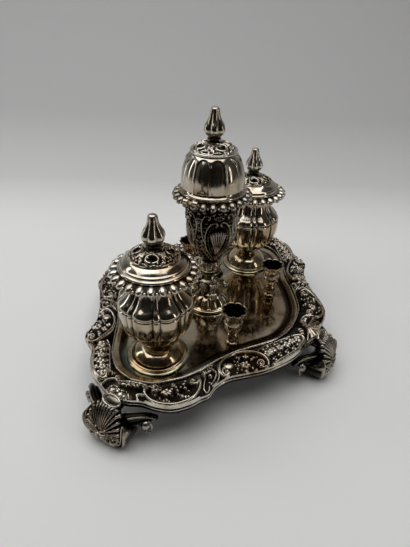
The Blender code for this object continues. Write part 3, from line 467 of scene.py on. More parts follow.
def build_inkwell(tag, x):
    """One inkwell: foot, lobed bowl and shoulder, beaded collar, lid and finial."""
    place = (x, 0.0, FLOOR)
    node = f"inkwell_{tag}"
    shape = Shape()
    line = contour(
        [(5.4, 13.7), (6.6, 13.4), (6.9, 12.9), (6.3, 12.4)],
        [(6.3, 12.3), (9.4, 12.1), (12.9, 10.9), (16.2, 8.4), (18.4, 5.2), (19.3, 3.0)],
        [(19.3, 2.9), (20.0, 2.6), (20.2, 2.2), (20.0, 1.8)], [(20.6, 1.5), (22.2, 1.3)], [(22.6, 0.9), (22.5, 0.35)],
    )
    turned(shape, toned(line, 0.85) + [(2.2, 0.35, 0.1), (2.2, 13.5, 0.1)], 128, place)
    make_piece(f"well_foot_{tag}", shape, finishes["gold"], stands_for=f"{node}_foot")
    line = contour([(4.8, 14.0), (7.6, 15.0), (12.6, 18.0), (19.2, 23.9), (23.8, 31.2), (26.0, 40.2), (26.5, 46.4),
                    (26.3, 48.8), (25.2, 49.75)])
    shape = lobed_body(line, place, lambda h: fade(h, 17.0, 25.0))
    make_piece(f"well_bowl_{tag}", shape, finishes["bowl"], stands_for=f"{node}_bowl")
    line = contour([(25.0, 50.1), (26.2, 50.6), (26.2, 51.8), (24.9, 54.0), (21.6, 57.0), (18.9, 60.4), (17.4, 64.6),
                    (17.0, 68.6), (18.0, 71.9)])
    shape = lobed_body(line, place, lambda h: 1.0 - 0.65 * fade(h, 56.0, 72.0))
    make_piece(f"well_shoulder_{tag}", shape, finishes["silver"], stands_for=f"{node}_shoulder")
    build_collar(f"well_collar_{tag}", f"{node}_collar", place, 72.3, 14.95, finishes["cast"])
    build_lid(tag, place)


def build_collar(name, node, place, low, hole, finish):
    """A conical collar with a row of large beads and small ones between."""
    shape = Shape()
    line = contour(
        [(hole, low + 4.1), (24.5, low + 4.1)], [(24.7, low + 3.9), (26.2, low + 3.1), (28.3, low + 2.2)],
        [(28.6, low + 1.9), (28.7, low + 1.2), (27.6, low + 0.8)], [(26.4, low + 0.6), (18.0, low + 0.1)],
        [(17.5, low), (hole, low)],
    )
    # The collar itself is toned 0.1, so it is near black between the beads: painted shade.
    turned(shape, toned(line, 0.1), 160, place)
    for i in range(24):
        for step, reach, length, width in ((0.0, 26.6, 7.6, 5.2), (0.5, 28.8, 2.0, 1.7)):
            angle = TURN * (i + step) / 24.0
            out = Vector((math.cos(angle), math.sin(angle), 0.0))
            centre = Vector(place) + out * reach + UP * (low + 2.2)
            tilt = (out * 0.33 + UP * 0.94).normalized()
            lump(shape, centre, out - UP * 0.35, length, width, width * 0.48, tilt, 1.0, 14, 10)
    make_piece(name, shape, finish, stands_for=node, sharp=60.0)


def build_lid(tag, place):
    """A stepped lid with an embossed top, and its finial."""
    shape = Shape()
    line = contour(
        [(22.8, 76.85), (23.7, 77.0)], [(23.9, 77.5), (23.9, 78.1), (23.4, 78.8), (22.6, 79.1)],
        [(22.4, 79.2), (22.3, 79.8)], [(22.2, 80.2), (21.9, 80.8), (21.2, 81.2)],
        [(20.9, 81.4), (19.6, 82.7), (18.4, 83.7), (17.2, 84.4)], [(17.1, 84.5), (17.0, 85.1)],
        [(16.7, 85.4), (16.2, 85.3)],
    )
    first = len(line)
    line += contour([(16.0, 84.4), (12.4, 86.3), (8.0, 87.9), (5.0, 88.5)], steps=12)
    last = len(line)
    line += contour([(5.1, 89.25), (1.9, 89.25)])
    under = contour(
        [(1.9, 88.0), (6.0, 87.9), (13.0, 85.4), (15.0, 84.4), (19.0, 81.6)], [(19.2, 81.4), (22.8, 76.85)],
    )
    rows = [(r, h, 0.85 if r > 16.1 else 0.3) for r, h in line] + toned(under, 0.2)
    turned(shape, rows, 240, place, chased_top(rows, first, last, 240, 208.3))
    make_piece(f"well_lid_{tag}", shape, finishes["silver"], f"lid_{tag}", f"inkwell_{tag}_lid", 40.0)
    build_finial(f"well_finial_{tag}", f"inkwell_{tag}_finial", place, 89.6, f"lid_{tag}")


def chased_top(rows, first, last, steps, turn):
    """Relief for the turned rows from first to last: ring-flower medallions, scrolls and fans."""
    radii = [rows[i][0] for i in range(first, last)]
    low, high = min(radii), max(radii)
    flat = np.array([[(r * math.cos(a), r * math.sin(a)) for r in radii] for a in circle(steps)])
    work = Chasing(flat, np.zeros(flat.shape[:2]), 0.03)
    work.steps = 5

    def at(angle, share):
        reach = low + (high - low) * share
        return (reach * math.cos(angle), reach * math.sin(angle))

    work.at = at
    work.ridge([(angle, 0.96) for angle in circle(60)], 0.9, 0.7)
    work.ridge([(angle, 0.05) for angle in circle(60)], 1.2, 0.6)
    for middle in circle(4, math.radians(turn))[:-1]:
        eye = Vector(at(middle, 0.52))
        out = Vector((math.cos(middle), math.sin(middle)))
        across = Vector((-out.y, out.x))
        for half_wide, half_deep, swell, width, rise in ((4.0, 3.1, 0.0, 1.7, 1.9), (7.6, 5.0, 0.1, 1.1, 1.6)):
            work.raise_ridge([
                eye + (across * half_wide * math.cos(a) + out * half_deep * math.sin(a)) * (1.0 + swell * math.cos(7.0 * a))
                for a in circle(48)
            ], width, rise)
        for side in SIDES:
            places = ((0.3, 0.1), (0.56, 0.26), (0.72, 0.5), (0.66, 0.78), (0.52, 0.82))
            work.scroll([(middle + side * turn_by, share) for turn_by, share in places], 1.0, 1.5)
            work.boss((middle + side * 0.55, 0.72), 1.7, 1.7, 1.7)
            work.boss((middle + side * 0.36, 0.9), 1.2, 1.2, 1.0)
        fan = middle + math.pi / 4.0
        for spread in (-0.13, 0.0, 0.13):
            work.ridge([(fan + spread * 0.3, 0.12), (fan + spread, 0.5)], lambda share: 0.6 + share, 1.3, 0.9)
        work.boss((fan, 0.84), 2.4, 1.6, 1.4, fan)

    def relief(angle, i):
        if not first <= i < last:
            return (0.0, 0.0, 0.0)
        step = int(round(angle / TURN * steps))
        return (0.0, float(work.height[step, i - first]), float(work.tone[step, i - first]) - rows[i][2])

    return relief


def build_finial(name, node, place, low, body):
    """A six-lobed bud on a turned neck."""
    outline = (
        ((5.0, 0.0), (5.2, 0.3)), ((5.0, 0.7), (3.7, 1.2), (3.0, 2.0)), ((3.1, 2.2), (4.7, 2.5), (4.9, 3.0), (4.2, 3.5)),
        ((3.4, 3.6), (5.4, 5.0), (7.4, 7.2), (8.0, 9.4), (7.3, 12.0), (5.8, 14.4), (4.5, 16.8), (3.8, 19.2),
         (3.4, 21.4), (2.9, 23.0), (1.7, 23.8), (0.0, 24.0)),
    )
    line = contour(*[[(r, low + h) for r, h in run] for run in outline])
    rows = [(r, h, 0.9 if h > low + 3.7 else 0.25) for r, h in line] + [(0.0, low, 0.1)]

    def relief(angle, i):
        """Six round lobes, each an arc of its own, that fade towards the tip."""
        height = rows[i][1] - low
        share = fade(height, 3.6, 5.2) * (1.0 - 0.62 * fade(height, 12.0, 22.0)) * (1.0 - fade(height, 22.2, 23.6))
        part = (angle + math.radians(2.0)) % (math.pi / 3.0) - math.pi / 6.0
        lobe = 0.6 * math.cos(part) + math.sqrt(0.16 - (0.6 * math.sin(part)) ** 2)
        return (-rows[i][0] * (1.0 - lobe) * share, 0.0, -2.6 * share * (1.0 - lobe) ** 1.4)

    shape = Shape()
    turned(shape, rows, 132, place, relief)
    make_piece(name, shape, finishes["silver"], body, node, 55.0)


def gadroons(rows, rise, fall, count, round_off, depth, dark):
    """Relief of lobes round a turned body, between a rise and a fall in height; dark paints shade into the grooves."""
    def relief(angle, i):
        radius, height, _ = rows[i]
        share = fade(height, *rise) * (1.0 - fade(height, *fall)) if radius > 5.0 else 0.0
        wave = abs(math.sin(count * angle)) ** round_off
        return (-depth * (1.0 - wave) * share, 0.0, -dark * share * (1.0 - wave) ** 2)

    return relief


def bored(line, tone):
    """Rows of a turned body with the bore for the vase's bolt."""
    return toned(line, tone) + [(2.4, line[-1][1], 0.1), (2.4, line[0][1], 0.1)]


def build_vase():
    """The centre vase: lobed base, scroll stem, knop, leaf cup, beaded collar and hinged dome."""
    place = (0.0, 0.0, FLOOR)
    shape = Shape()
    rows = bored(contour(
        [(9.2, 10.8), (10.4, 10.6), (12.4, 9.6), (14.8, 7.2), (16.4, 4.6), (16.9, 3.0)],
        [(16.9, 2.6), (18.4, 2.5)], [(19.3, 2.2), (19.7, 1.4), (19.6, 0.4)],
    ), 0.8)
    turned(shape, rows, 216, place, gadroons(rows, (2.6, 3.4), (9.8, 10.8), 6.0, 0.6, 1.7, 0.7))
    make_piece("vase_foot", shape, finishes["gold"], stands_for="vase_base")
    build_vase_stem(place)
    shape = Shape()
    rows = bored(contour(
        [(5.6, 43.9), (6.2, 43.6)], [(8.6, 43.0), (8.9, 42.4), (8.4, 41.8)],
        [(8.6, 41.6), (9.4, 40.4), (9.6, 38.6), (8.8, 36.6), (7.4, 35.2)], [(7.0, 35.0), (6.8, 34.6)],
        [(7.6, 34.4), (8.0, 33.9), (7.4, 33.4)],
    ), 0.8)
    turned(shape, rows, 128, place, gadroons(rows, (35.0, 36.4), (40.6, 41.8), 4.0, 0.5, 1.5, 0.8))
    make_piece("vase_block", shape, finishes["stem"], stands_for="vase_knop")
    build_vase_cup(place)
    build_collar("vase_rim", "vase_collar", place, 97.3, 20.3, finishes["foot"])
    build_hinge()
    build_dome(place)


def build_vase_stem(place):
    """The stem between the vase's base and its block: a baluster with four scroll brackets."""
    shape = Shape()
    line = contour(
        [(6.6, 32.95), (7.4, 32.8)], [(9.2, 32.6), (9.5, 32.0), (9.1, 31.4)],
        [(7.6, 31.0), (6.6, 29.8), (6.4, 27.4), (7.2, 25.6)], [(9.2, 25.1), (9.7, 24.4), (9.2, 23.7)],
        [(8.2, 23.4), (7.2, 21.4), (6.4, 17.0), (6.8, 13.4), (8.6, 11.6), (9.0, 11.35)],
    )
    turned(shape, bored(line, 0.55), 96, place)
    centre = Vector(place)
    for angle in circle(4, math.pi / 4.0)[:-1]:
        out = Vector((math.cos(angle), math.sin(angle), 0.0))
        side = UP.cross(out)
        bracket = [(7.6, 23.0), (10.6, 22.6), (11.6, 20.4), (9.4, 17.8), (10.2, 15.4), (13.6, 12.4)]
        for shift, size in ((-1.5, 1.15), (0.0, 0.95), (1.5, 1.15)):
            start = centre + side * shift
            path = smooth_path([start + out * r + UP * h for r, h in bracket], 6)
            for k in range(15):
                reach, v = 2.5 * (1.0 - 0.8 * k / 14.0), -0.9 + 5.6 * k / 14.0
                path.append(start + out * (13.2 + reach * math.cos(v)) + UP * (14.6 + reach * math.sin(v)))
            tube(shape, path, size, 8, 1.0, 0.9, side)
        for way in (side, -side):
            bead(shape, centre + out * 13.4 + UP * 14.8 + way * 2.5, 1.1, way)
        across = Vector((math.cos(angle + math.pi / 4.0), math.sin(angle + math.pi / 4.0), 0.0))
        for way, width, tone, places in (
            (out, 6.0, 0.9, ((8.2, 24.2), (10.4, 26.0), (10.6, 28.6), (8.6, 31.0))),
            (across, 6.4, 0.8, ((7.6, 22.6), (8.4, 19.4), (9.6, 15.6), (11.2, 12.2))),
        ):
            leaf(shape, smooth_path([centre + way * r + UP * h for r, h in places], 6), width, way, tone)
    make_piece("vase_baluster", shape, finishes["stem"], stands_for="vase_stem")


# The cup's radius at each height, and the girth that its chasing is laid out on
CUP_LINE = (
    (44.35, 5.9), (45.6, 7.6), (50.0, 11.4), (56.0, 15.2), (62.6, 18.6), (70.0, 19.7), (78.0, 19.9), (88.0, 20.4),
    (94.0, 21.4), (96.95, 22.0),
)
CUP_GIRTH = 20.0


def cup_chasing(columns=110, rows=150):
    """The chased face of one quarter of the cup, along the girth and up."""
    flat = np.array([
        [(CUP_GIRTH * math.pi / 2.0 * (c / columns - 0.5), 44.35 + 52.6 * r / (rows - 1)) for r in range(rows)]
        for c in range(columns)
    ])
    rise = np.clip((flat[:, :, 1] - 45.0) / 5.0, 0.0, 1.0) * np.clip((96.9 - flat[:, :, 1]) / 3.0, 0.0, 1.0)
    work = Chasing(flat, -1.9 * rise, 0.05)
    edge = CUP_GIRTH * math.pi / 4.0
    scrolls = (
        (1.7, 2.3, 1.0, [(0.8, 49.0), (5.6, 53.6), (9.2, 60.6), (10.6, 68.8), (9.6, 77.0), (6.4, 82.6), (2.8, 84.4),
                         (1.2, 82.6), (2.2, 80.8)]),
        (0.8, 1.5, 0.8, [(1.6, 52.6), (5.4, 57.6), (7.6, 64.6), (8.2, 71.6), (7.0, 77.4), (4.2, 80.6)]),
        (1.5, 2.2, 1.0, [(10.2, 66.0), (12.8, 73.0), (13.6, 81.0), (12.0, 87.6), (9.0, 90.2), (6.8, 88.4), (7.8, 86.2)]),
        (1.4, 1.9, 1.0, [(3.0, 46.6), (7.6, 51.0), (11.6, 57.6), (13.4, 64.6), (12.6, 69.4), (10.9, 68.0)]),
    )
    fronds = (
        (4.4, 1.9, 6, [(1.0, 46.0), (6.0, 49.6), (10.6, 54.4), (14.6, 60.6)]),
        (3.0, 1.5, 4, [(9.8, 58.0), (12.2, 63.0), (13.0, 69.0)]),
        (2.8, 1.5, 4, [(11.6, 72.0), (11.0, 78.0), (9.8, 84.0)]),
        (3.6, 2.0, 3, [(2.0, 86.0), (4.2, 90.0), (6.2, 94.0)]),
        (3.2, 1.6, 3, [(10.4, 90.8), (12.6, 93.4), (14.4, 95.0)]),
        (6.4, 2.0, 8, [(edge, 46.0), (edge, 56.0), (edge, 66.0), (edge, 77.0)]),
        (4.0, 1.6, 4, [(edge, 78.0), (edge - 1.6, 84.0), (edge, 92.0)]),
    )
    for side in SIDES:
        work.at = lambda x, h, side=side: (side * x, h)
        for width, high, tone, places in scrolls:
            work.scroll(places, width, high, tone)
        work.boss((2.2, 81.6), 2.2, 2.2, 2.4)
        work.boss((8.0, 87.4), 2.4, 2.4, 2.4)
        for width, high, lobes, places in fronds:
            work.frond(places, width, high, lobes)
    for rib in range(7):
        lean = (rib - 3.0) * 0.155
        tip = 13.6 * math.sin(lean)
        work.ridge([(2.4 * math.sin(lean), 55.6), (tip, 55.6 + 19.4 * math.cos(lean))],
                   lambda share: 0.5 + 1.9 * share, 1.7, 0.9)
        work.boss((1.0235 * tip, 55.6 + 20.0 * math.cos(lean)), 2.1, 2.1, 1.9)
    work.frond([(0.0, 46.0), (0.0, 50.0), (0.0, 55.0)], 3.6, 1.8, 3)
    work.frond([(0.0, 85.0), (0.0, 90.0), (0.0, 95.6)], 4.2, 2.3, 4)
    return work


def build_vase_cup(place):
    """The tapering cup with four tall shell cartouches between scrolled leaves."""
    work = cup_chasing()
    columns, rows = work.height.shape
    points, tones = [], []
    for outside, order in ((True, range(rows)), (False, reversed(range(rows)))):
        for r in order:
            height = float(work.flat[0, r, 1])
            reach = read_curve(CUP_LINE, height)
            for k in range(4 * columns):
                c, angle = k % columns, math.pi / 2.0 * k / columns
                radius = max(reach + (float(work.height[c, r]) if outside else -2.9), 3.0)
                points.append((radius * math.cos(angle), radius * math.sin(angle), place[2] + height))
                # The inside is toned 0.05: painted shade.
                tones.append(float(work.tone[c, r]) if outside else 0.05)
    shape = Shape()
    shape.add(points, grid_faces(2 * rows, 4 * columns, True, True), tones)
    make_piece("vase_bowl", shape, finishes["cup"], stands_for="vase_cup", sharp=80.0)


def build_hinge():
    """The fixed knuckles on the vase's collar."""
    shape = Shape()
    sides = 24
    for side in SIDES:
        middle = Vector((-31.5, side * 3.75, 132.5))
        points = [
            middle + Vector((2.0 * math.cos(angle), end * 1.7, 2.0 * math.sin(angle)))
            for end in SIDES for angle in circle(sides)[:-1]
        ]
        faces = grid_faces(2, sides, wrap_columns=True) + [tuple(range(sides)), tuple(range(sides, 2 * sides))]
        shape.add(points, faces, 0.7)
        lump(shape, middle + Vector((2.6, 0.0, -2.9)), Vector((1.0, 0.0, -0.35)), 8.6, 3.3, 1.3,
             Vector((0.35, 0.0, 1.0)).normalized(), 0.5)
    make_piece("hinge_lugs", shape, finishes["cast"])


def build_dome(place):
    """The hinged dome: twelve arched panels between ribs, an embossed cap plate and its finial."""
    shape = Shape()
    line = contour(
        [(4.0, 131.25), (14.0, 131.2)],
        [(16.6, 131.0), (18.6, 128.9), (21.4, 124.2), (23.4, 118.0), (24.2, 111.5), (24.0, 105.6)],
        [(24.1, 105.0), (24.9, 104.6)], [(25.1, 104.0), (24.9, 103.2), (24.1, 102.9)],
        [(24.4, 102.6), (24.5, 102.1), (23.6, 101.85)],
    )
    rows = shell_rows(line, 1.1)

    def relief(angle, i):
        cell = (angle * 12.0 / TURN + 0.27) % 1.0 - 0.5
        arch = 130.4 - 4.6 * abs(cell * 2.0) ** 2.6
        share = fade(rows[i][1], 104.9, 106.4) * (1.0 - fade(rows[i][1], arch - 1.0, arch))
        rib = math.exp(-((abs(cell) - 0.5) / 0.06) ** 2) * 0.6
        shade = -0.12 * share * math.exp(-((abs(cell) - 0.42) / 0.04) ** 2) if i < len(line) else -0.1
        return ((-0.8 - 0.5 * abs(cell * 2.0) ** 2.0 + rib) * share, 0.0, shade)

    turned(shape, rows, 288, place, relief)
    for reach in (-30.2, -26.6):
        lump(shape, Vector((reach, 0.0, 131.9)), Vector((1.0, 0.0, 0.0)), 6.0, 3.2, 1.5, UP, 0.7)
    make_piece("dome_shell", shape, finishes["silver"], "cover", "cover_dome", 60.0)
    shape = Shape()
    line = contour([(1.9, 137.3), (5.0, 137.3)])
    first = len(line)
    line += contour([(5.2, 136.7), (9.0, 135.9), (13.0, 134.2), (15.6, 132.8)], steps=12)
    last = len(line)
    line += contour([(15.8, 133.2), (16.6, 133.3), (17.1, 132.7), (17.0, 131.9), (16.4, 131.6)],
                    [(16.0, 131.5), (1.9, 131.5)])
    rows = [(r, h, 0.35 if r < 15.7 else 0.9) for r, h in line]
    turned(shape, rows, 240, place, chased_top(rows, first, last, 240, 238.3))
    make_piece("dome_cap", shape, finishes["cast"], "cover", "cover_cap", 45.0)
    build_finial("dome_finial", "cover_finial", place, 137.6, "cover")


def build_pen_cups():
    """Four flared pen cups with eight-lobed mouths."""
    line = contour(
        [(4.0, 13.0), (4.3, 22.0), (5.4, 25.6), (7.4, 28.8), (8.9, 30.6)], [(9.2, 30.9), (9.8, 30.9)],
        [(9.9, 30.5), (9.3, 29.4), (7.0, 26.4), (5.9, 23.4), (6.1, 20.6)], [(6.4, 20.2), (7.1, 19.8), (6.8, 19.2)],
        [(6.6, 19.0), (6.7, 16.6), (5.6, 13.6), (4.0, 12.2)], [(3.7, 11.9), (4.4, 11.4), (4.3, 10.8), (3.6, 10.4)],
        [(3.3, 10.1), (4.2, 8.6), (4.8, 6.4), (4.2, 4.2), (3.2, 3.0)], [(3.2, 2.7), (4.6, 2.1), (5.4, 1.3), (5.5, 0.35)],
        steps=4,
    )
    inside = 16
    # The inside of a cup is toned below 0, so it is painted near black: painted shade.
    rows = [(0.0, 13.0, -0.2)] + toned(line[:inside], -0.2) + toned(line[inside:], 0.8) + [(0.0, 0.35, 0.1)]

    def relief(angle, i):
        height = rows[i][1]
        wave = abs(math.cos(4.0 * angle))
        share = fade(height, 23.5, 30.0) + 0.35 * fade(height, 12.4, 14.0) * (1.0 - fade(height, 17.0, 19.0))
        return (-1.7 * (1.0 - wave) ** 1.4 * share, 0.0, -0.4 * share * (1.0 - wave) ** 2)

    for number, (x, y) in enumerate(((-37.0, -41.0), (-37.0, 41.0), (37.0, -41.0), (37.0, 41.0)), 1):
        shape = Shape()
        turned(shape, rows, 96, (x, y, FLOOR), relief)
        make_piece(f"quill_cup_{number}", shape, finishes["stem"], stands_for=f"pen_cup_{number}")


def build_pan():
    """The tray's sheet: flat floor, cove, smooth band and the flange under the border."""
    stations = 96
    outline, rim = [
        [plan(index, step / stations, w) for index in range(4) for step in range(stations)] for w in (0.0, 0.8)
    ]
    rings = (
        (0.0, 29.0, 0.9), (0.5, 29.0, 0.9), (0.8, 29.0, 0.9), (0.9, 29.0, 0.9), (0.94, 29.02, 0.25),
        (0.965, 29.25, 0.25), (0.985, 29.75, 0.25), (1.0, 30.0, 0.25),
    )
    rows = [[(p.x * share * 0.945, p.y * share * 0.945, height) for p in outline] for share, height, _ in rings]
    for share, height in ((0.3, 30.3), (0.7, 30.9), (1.0, FLANGE)):
        inset = 1.0 - 0.055 * (1.0 - share)
        rows.append([(p.x * inset, p.y * inset, height) for p in outline])
    rows.append([(p.x, p.y, FLANGE) for p in rim])
    shades = [shade for _, _, shade in rings] + [0.9] * 4 + [0.1] * len(rows)
    rows += [[(x, y, z - 1.5) for x, y, z in row] for row in rows[::-1]]
    shape = Shape()
    shape.add([point for row in rows for point in row], grid_faces(len(rows), len(outline), True, True),
              [shade for shade in shades for _ in outline])
    make_piece("tray_sheet", shape, finishes["tray"], stands_for="tray_pan", sharp=60.0)


BORDER_CREST = ((0.0, 0.0), (0.14, 0.4), (0.5, 1.0), (0.84, 0.74), (1.0, 0.4))


def border_chasing(index, columns=440, rows=64):
    """The chased face of one side of the border, drawn at places (t, w) of its plan."""
    share_w = np.linspace(0.0, 1.0, rows)
    flat = np.array([[plan(index, t, w)[:] for w in share_w] for t in np.linspace(0.0015, 0.9985, columns)])
    crest = np.array([read_curve(BORDER_CREST, w) for w in share_w])
    ends = np.clip(np.minimum(share_w / 0.07, (1.0 - share_w) / 0.05), 0.0, 1.0)
    work = Chasing(flat, np.tile(1.5 + 4.2 * crest - 1.9 * ends, (columns, 1)), 0.06)
    work.at = lambda t, w: tuple(plan(index, t, w))
    rng = random.Random(61 + index)

    def band(start, end, w, count):
        return [(start + (end - start) * k / count, w) for k in range(count + 1)]

    def berries(places, tall):
        for t, w, size in places:
            work.boss((t, w), size, size, size * tall)

    work.ridge(band(0.0, 1.0, 0.045, 90), 1.3, 0.9, 0.95, 0.4)
    # Convex lobe: a scroll out round the rim that winds in at both ends
    work.scroll([(0.1, 0.36), (0.092, 0.55), (0.104, 0.76), (0.13, 0.9), (0.165, 0.93), (0.21, 0.93), (0.26, 0.92),
                 (0.3, 0.88), (0.325, 0.74), (0.335, 0.55), (0.327, 0.36)], 2.1, 2.4, 1.0, 8)
    work.volute((0.12, 0.42), 3.5, 200.0, 1.0, 1.6)
    work.volute((0.3, 0.42), 3.5, -20.0, -1.0, 1.6)
    work.ridge(band(0.115, 0.318, 0.985, 30), 1.3, 1.0, 0.95, 0.3)
    work.flower((0.178, 0.55), 3.4, 5, 2.0, 0.7)
    work.frond([(0.168, 0.62), (0.15, 0.5), (0.142, 0.34)], 3.2, 1.5, 3)
    work.frond([(0.19, 0.5), (0.2, 0.34), (0.196, 0.2)], 2.8, 1.3, 3)
    berries(((0.214, 0.42, 1.9), (0.222, 0.55, 2.0), (0.227, 0.69, 1.9), (0.206, 0.3, 1.6), (0.236, 0.45, 1.7),
             (0.18, 0.8, 1.8), (0.17, 0.84, 1.6), (0.19, 0.84, 1.6), (0.155, 0.78, 1.4), (0.135, 0.7, 1.4),
             (0.272, 0.66, 1.6), (0.262, 0.54, 1.3)), 0.95)
    work.frond([(0.235, 0.7), (0.255, 0.78), (0.275, 0.8)], 2.6, 1.3, 3)
    work.frond([(0.262, 0.6), (0.25, 0.35), (0.262, 0.2)], 2.6, 1.3, 3)
    # Bridge of small scrolls about a bead
    for places in (
        [(0.43, 0.14), (0.412, 0.32), (0.418, 0.52), (0.425, 0.68), (0.41, 0.82), (0.387, 0.84), (0.374, 0.74)],
        [(0.352, 0.3), (0.362, 0.48), (0.352, 0.64), (0.345, 0.82), (0.352, 0.95), (0.368, 0.93), (0.372, 0.84)],
        [(0.44, 0.52), (0.437, 0.76), (0.43, 0.9), (0.41, 0.97), (0.39, 0.95)],
        [(0.345, 0.12), (0.36, 0.2), (0.378, 0.36), (0.4, 0.42)],
    ):
        work.scroll(places, 1.35, 2.1)
    work.boss((0.39, 0.6), 3.4, 3.4, 2.8)
    for k in range(5):
        work.scroll([(0.365 + 0.014 * k, 0.34 - 0.02 * k), (0.36 + 0.015 * k, 0.1)], 1.0, 0.9, 0.8, 3, 0.5)
    # Arch: a scroll in round the well's side that winds out at both ends, with fruit and flowers
    work.scroll([(0.486, 0.9), (0.474, 0.97), (0.456, 0.93), (0.447, 0.76), (0.45, 0.52), (0.47, 0.34), (0.5, 0.22),
                 (0.55, 0.15), (0.6, 0.17), (0.642, 0.29), (0.67, 0.5), (0.681, 0.72), (0.672, 0.91), (0.65, 0.97),
                 (0.63, 0.9)], 2.1, 2.6, 1.0, 8)
    work.volute((0.474, 0.82), 3.1, 40.0, 1.0, 1.5)
    work.volute((0.644, 0.82), 3.1, 150.0, -1.0, 1.5)
    work.boss((0.498, 0.58), 6.0, 7.5, 0.9, 0.4, 0.85)
    work.flower((0.602, 0.42), 2.5, 4, 1.7, 0.4)
    work.flower((0.575, 0.74), 3.7, 5, 2.3, 0.2)
    berries(((0.545, 0.58, 1.9), (0.553, 0.68, 1.8), (0.54, 0.72, 2.0), (0.528, 0.66, 1.7), (0.53, 0.82, 1.9),
             (0.545, 0.88, 1.8), (0.52, 0.94, 1.7), (0.56, 0.5, 1.4), (0.535, 0.5, 1.4), (0.555, 0.95, 1.5)), 1.05)
    work.frond([(0.59, 0.84), (0.605, 0.93), (0.6, 1.0)], 3.2, 1.6, 3)
    work.frond([(0.61, 0.62), (0.63, 0.55), (0.652, 0.58)], 3.0, 1.4, 3)
    work.frond([(0.565, 0.9), (0.56, 1.0)], 2.8, 1.5, 2)
    work.frond([(0.575, 0.4), (0.56, 0.3)], 2.6, 1.2, 2)
    # Long panel: rosettes on a dense ground inside a thick moulded edge
    work.scroll([(0.688, 0.96), (0.72, 0.93), (0.76, 0.91), (0.8, 0.91), (0.85, 0.92), (0.89, 0.91), (0.915, 0.84),
                 (0.925, 0.7), (0.915, 0.55), (0.9, 0.46)], 2.6, 2.4, 1.0, 8)
    work.ridge(band(0.69, 0.9, 0.99, 24), 1.8, 1.2, 1.0, 0.3)
    work.scroll([(0.69, 0.3), (0.74, 0.17), (0.8, 0.15), (0.86, 0.2), (0.9, 0.32)], 0.9, 0.9, 0.9, 8)
    rosettes = ((0.712, 0.55), (0.748, 0.5), (0.79, 0.52), (0.832, 0.55), (0.868, 0.56), (0.898, 0.66))
    for k, (t, w) in enumerate(rosettes):
        work.flower((t, w), 3.6 - 0.12 * k, 4 if k % 2 else 5, 1.9, 0.3 * k)
        for side in SIDES:
            work.boss((t + 0.019, w + side * 0.2), 1.5, 1.5, 0.9, 0.0, 0.6)
            work.frond([(t + 0.002, w + side * 0.2), (t + 0.014, w + side * 0.31)], 2.2, 1.1, 2)
    for _ in range(60):
        place = (rng.uniform(0.69, 0.915), rng.uniform(0.18, 0.86))
        work.boss(place, 1.6, 1.0, rng.uniform(0.3, 0.6), rng.uniform(0.0, 3.1), 0.4)
    for _ in range(70):
        place = (rng.uniform(0.1, 0.34), rng.uniform(0.12, 0.86))
        work.boss(place, 1.1, 1.1, rng.uniform(0.2, 0.4), 0.0, 0.3)
    for corner in (index, index + 1):
        place, ahead, aside = corner_frame(corner)
        work.at = lambda u, v, place=place, ahead=ahead, aside=aside: tuple((place + ahead * u + aside * v).xy)
        (corner_shell if corner % 2 else corner_plate)(work)
    return work


def corner_shell(work):
    """A fan shell with a scroll leaf on its inner side, over the feet of the long sides."""
    for rib in range(8):
        angle = math.radians(-46.0 + 18.5 * rib)
        length = 11.5 + 1.2 * math.cos(angle - 0.6)
        places = [
            (-10.8 + reach * math.cos(angle), 1.2 + reach * math.sin(angle))
            for reach in (1.6, length * 0.4, length * 0.75, length)
        ]
        work.scroll(places, lambda share: 0.9 + 2.6 * share ** 0.8, 2.0, 0.95, 4)
    work.scroll([(-10.0, 0.0), (-13.6, 3.0), (-17.4, 6.6), (-18.4, 10.6), (-16.6, 13.8), (-13.4, 14.2)], 1.4, 2.2)
    work.frond([(-12.0, 2.4), (-15.4, 7.0), (-15.6, 12.0)], 5.0, 1.7, 4)
    work.scroll([(-9.4, -0.6), (-7.6, -5.6), (-6.2, -10.6), (-4.6, -12.0), (-1.6, -10.6), (-0.4, -7.6)], 1.6, 1.8)
    work.scroll([(-4.2, -9.4), (-2.6, -11.2), (-0.8, -10.4)], 1.0, 2.0, 1.0, 5)
    work.frond([(-16.4, -2.0), (-12.6, -6.0), (-9.6, -11.6)], 4.0, 1.2, 4)
    work.boss((-10.8, 1.0), 3.0, 3.0, 2.2)


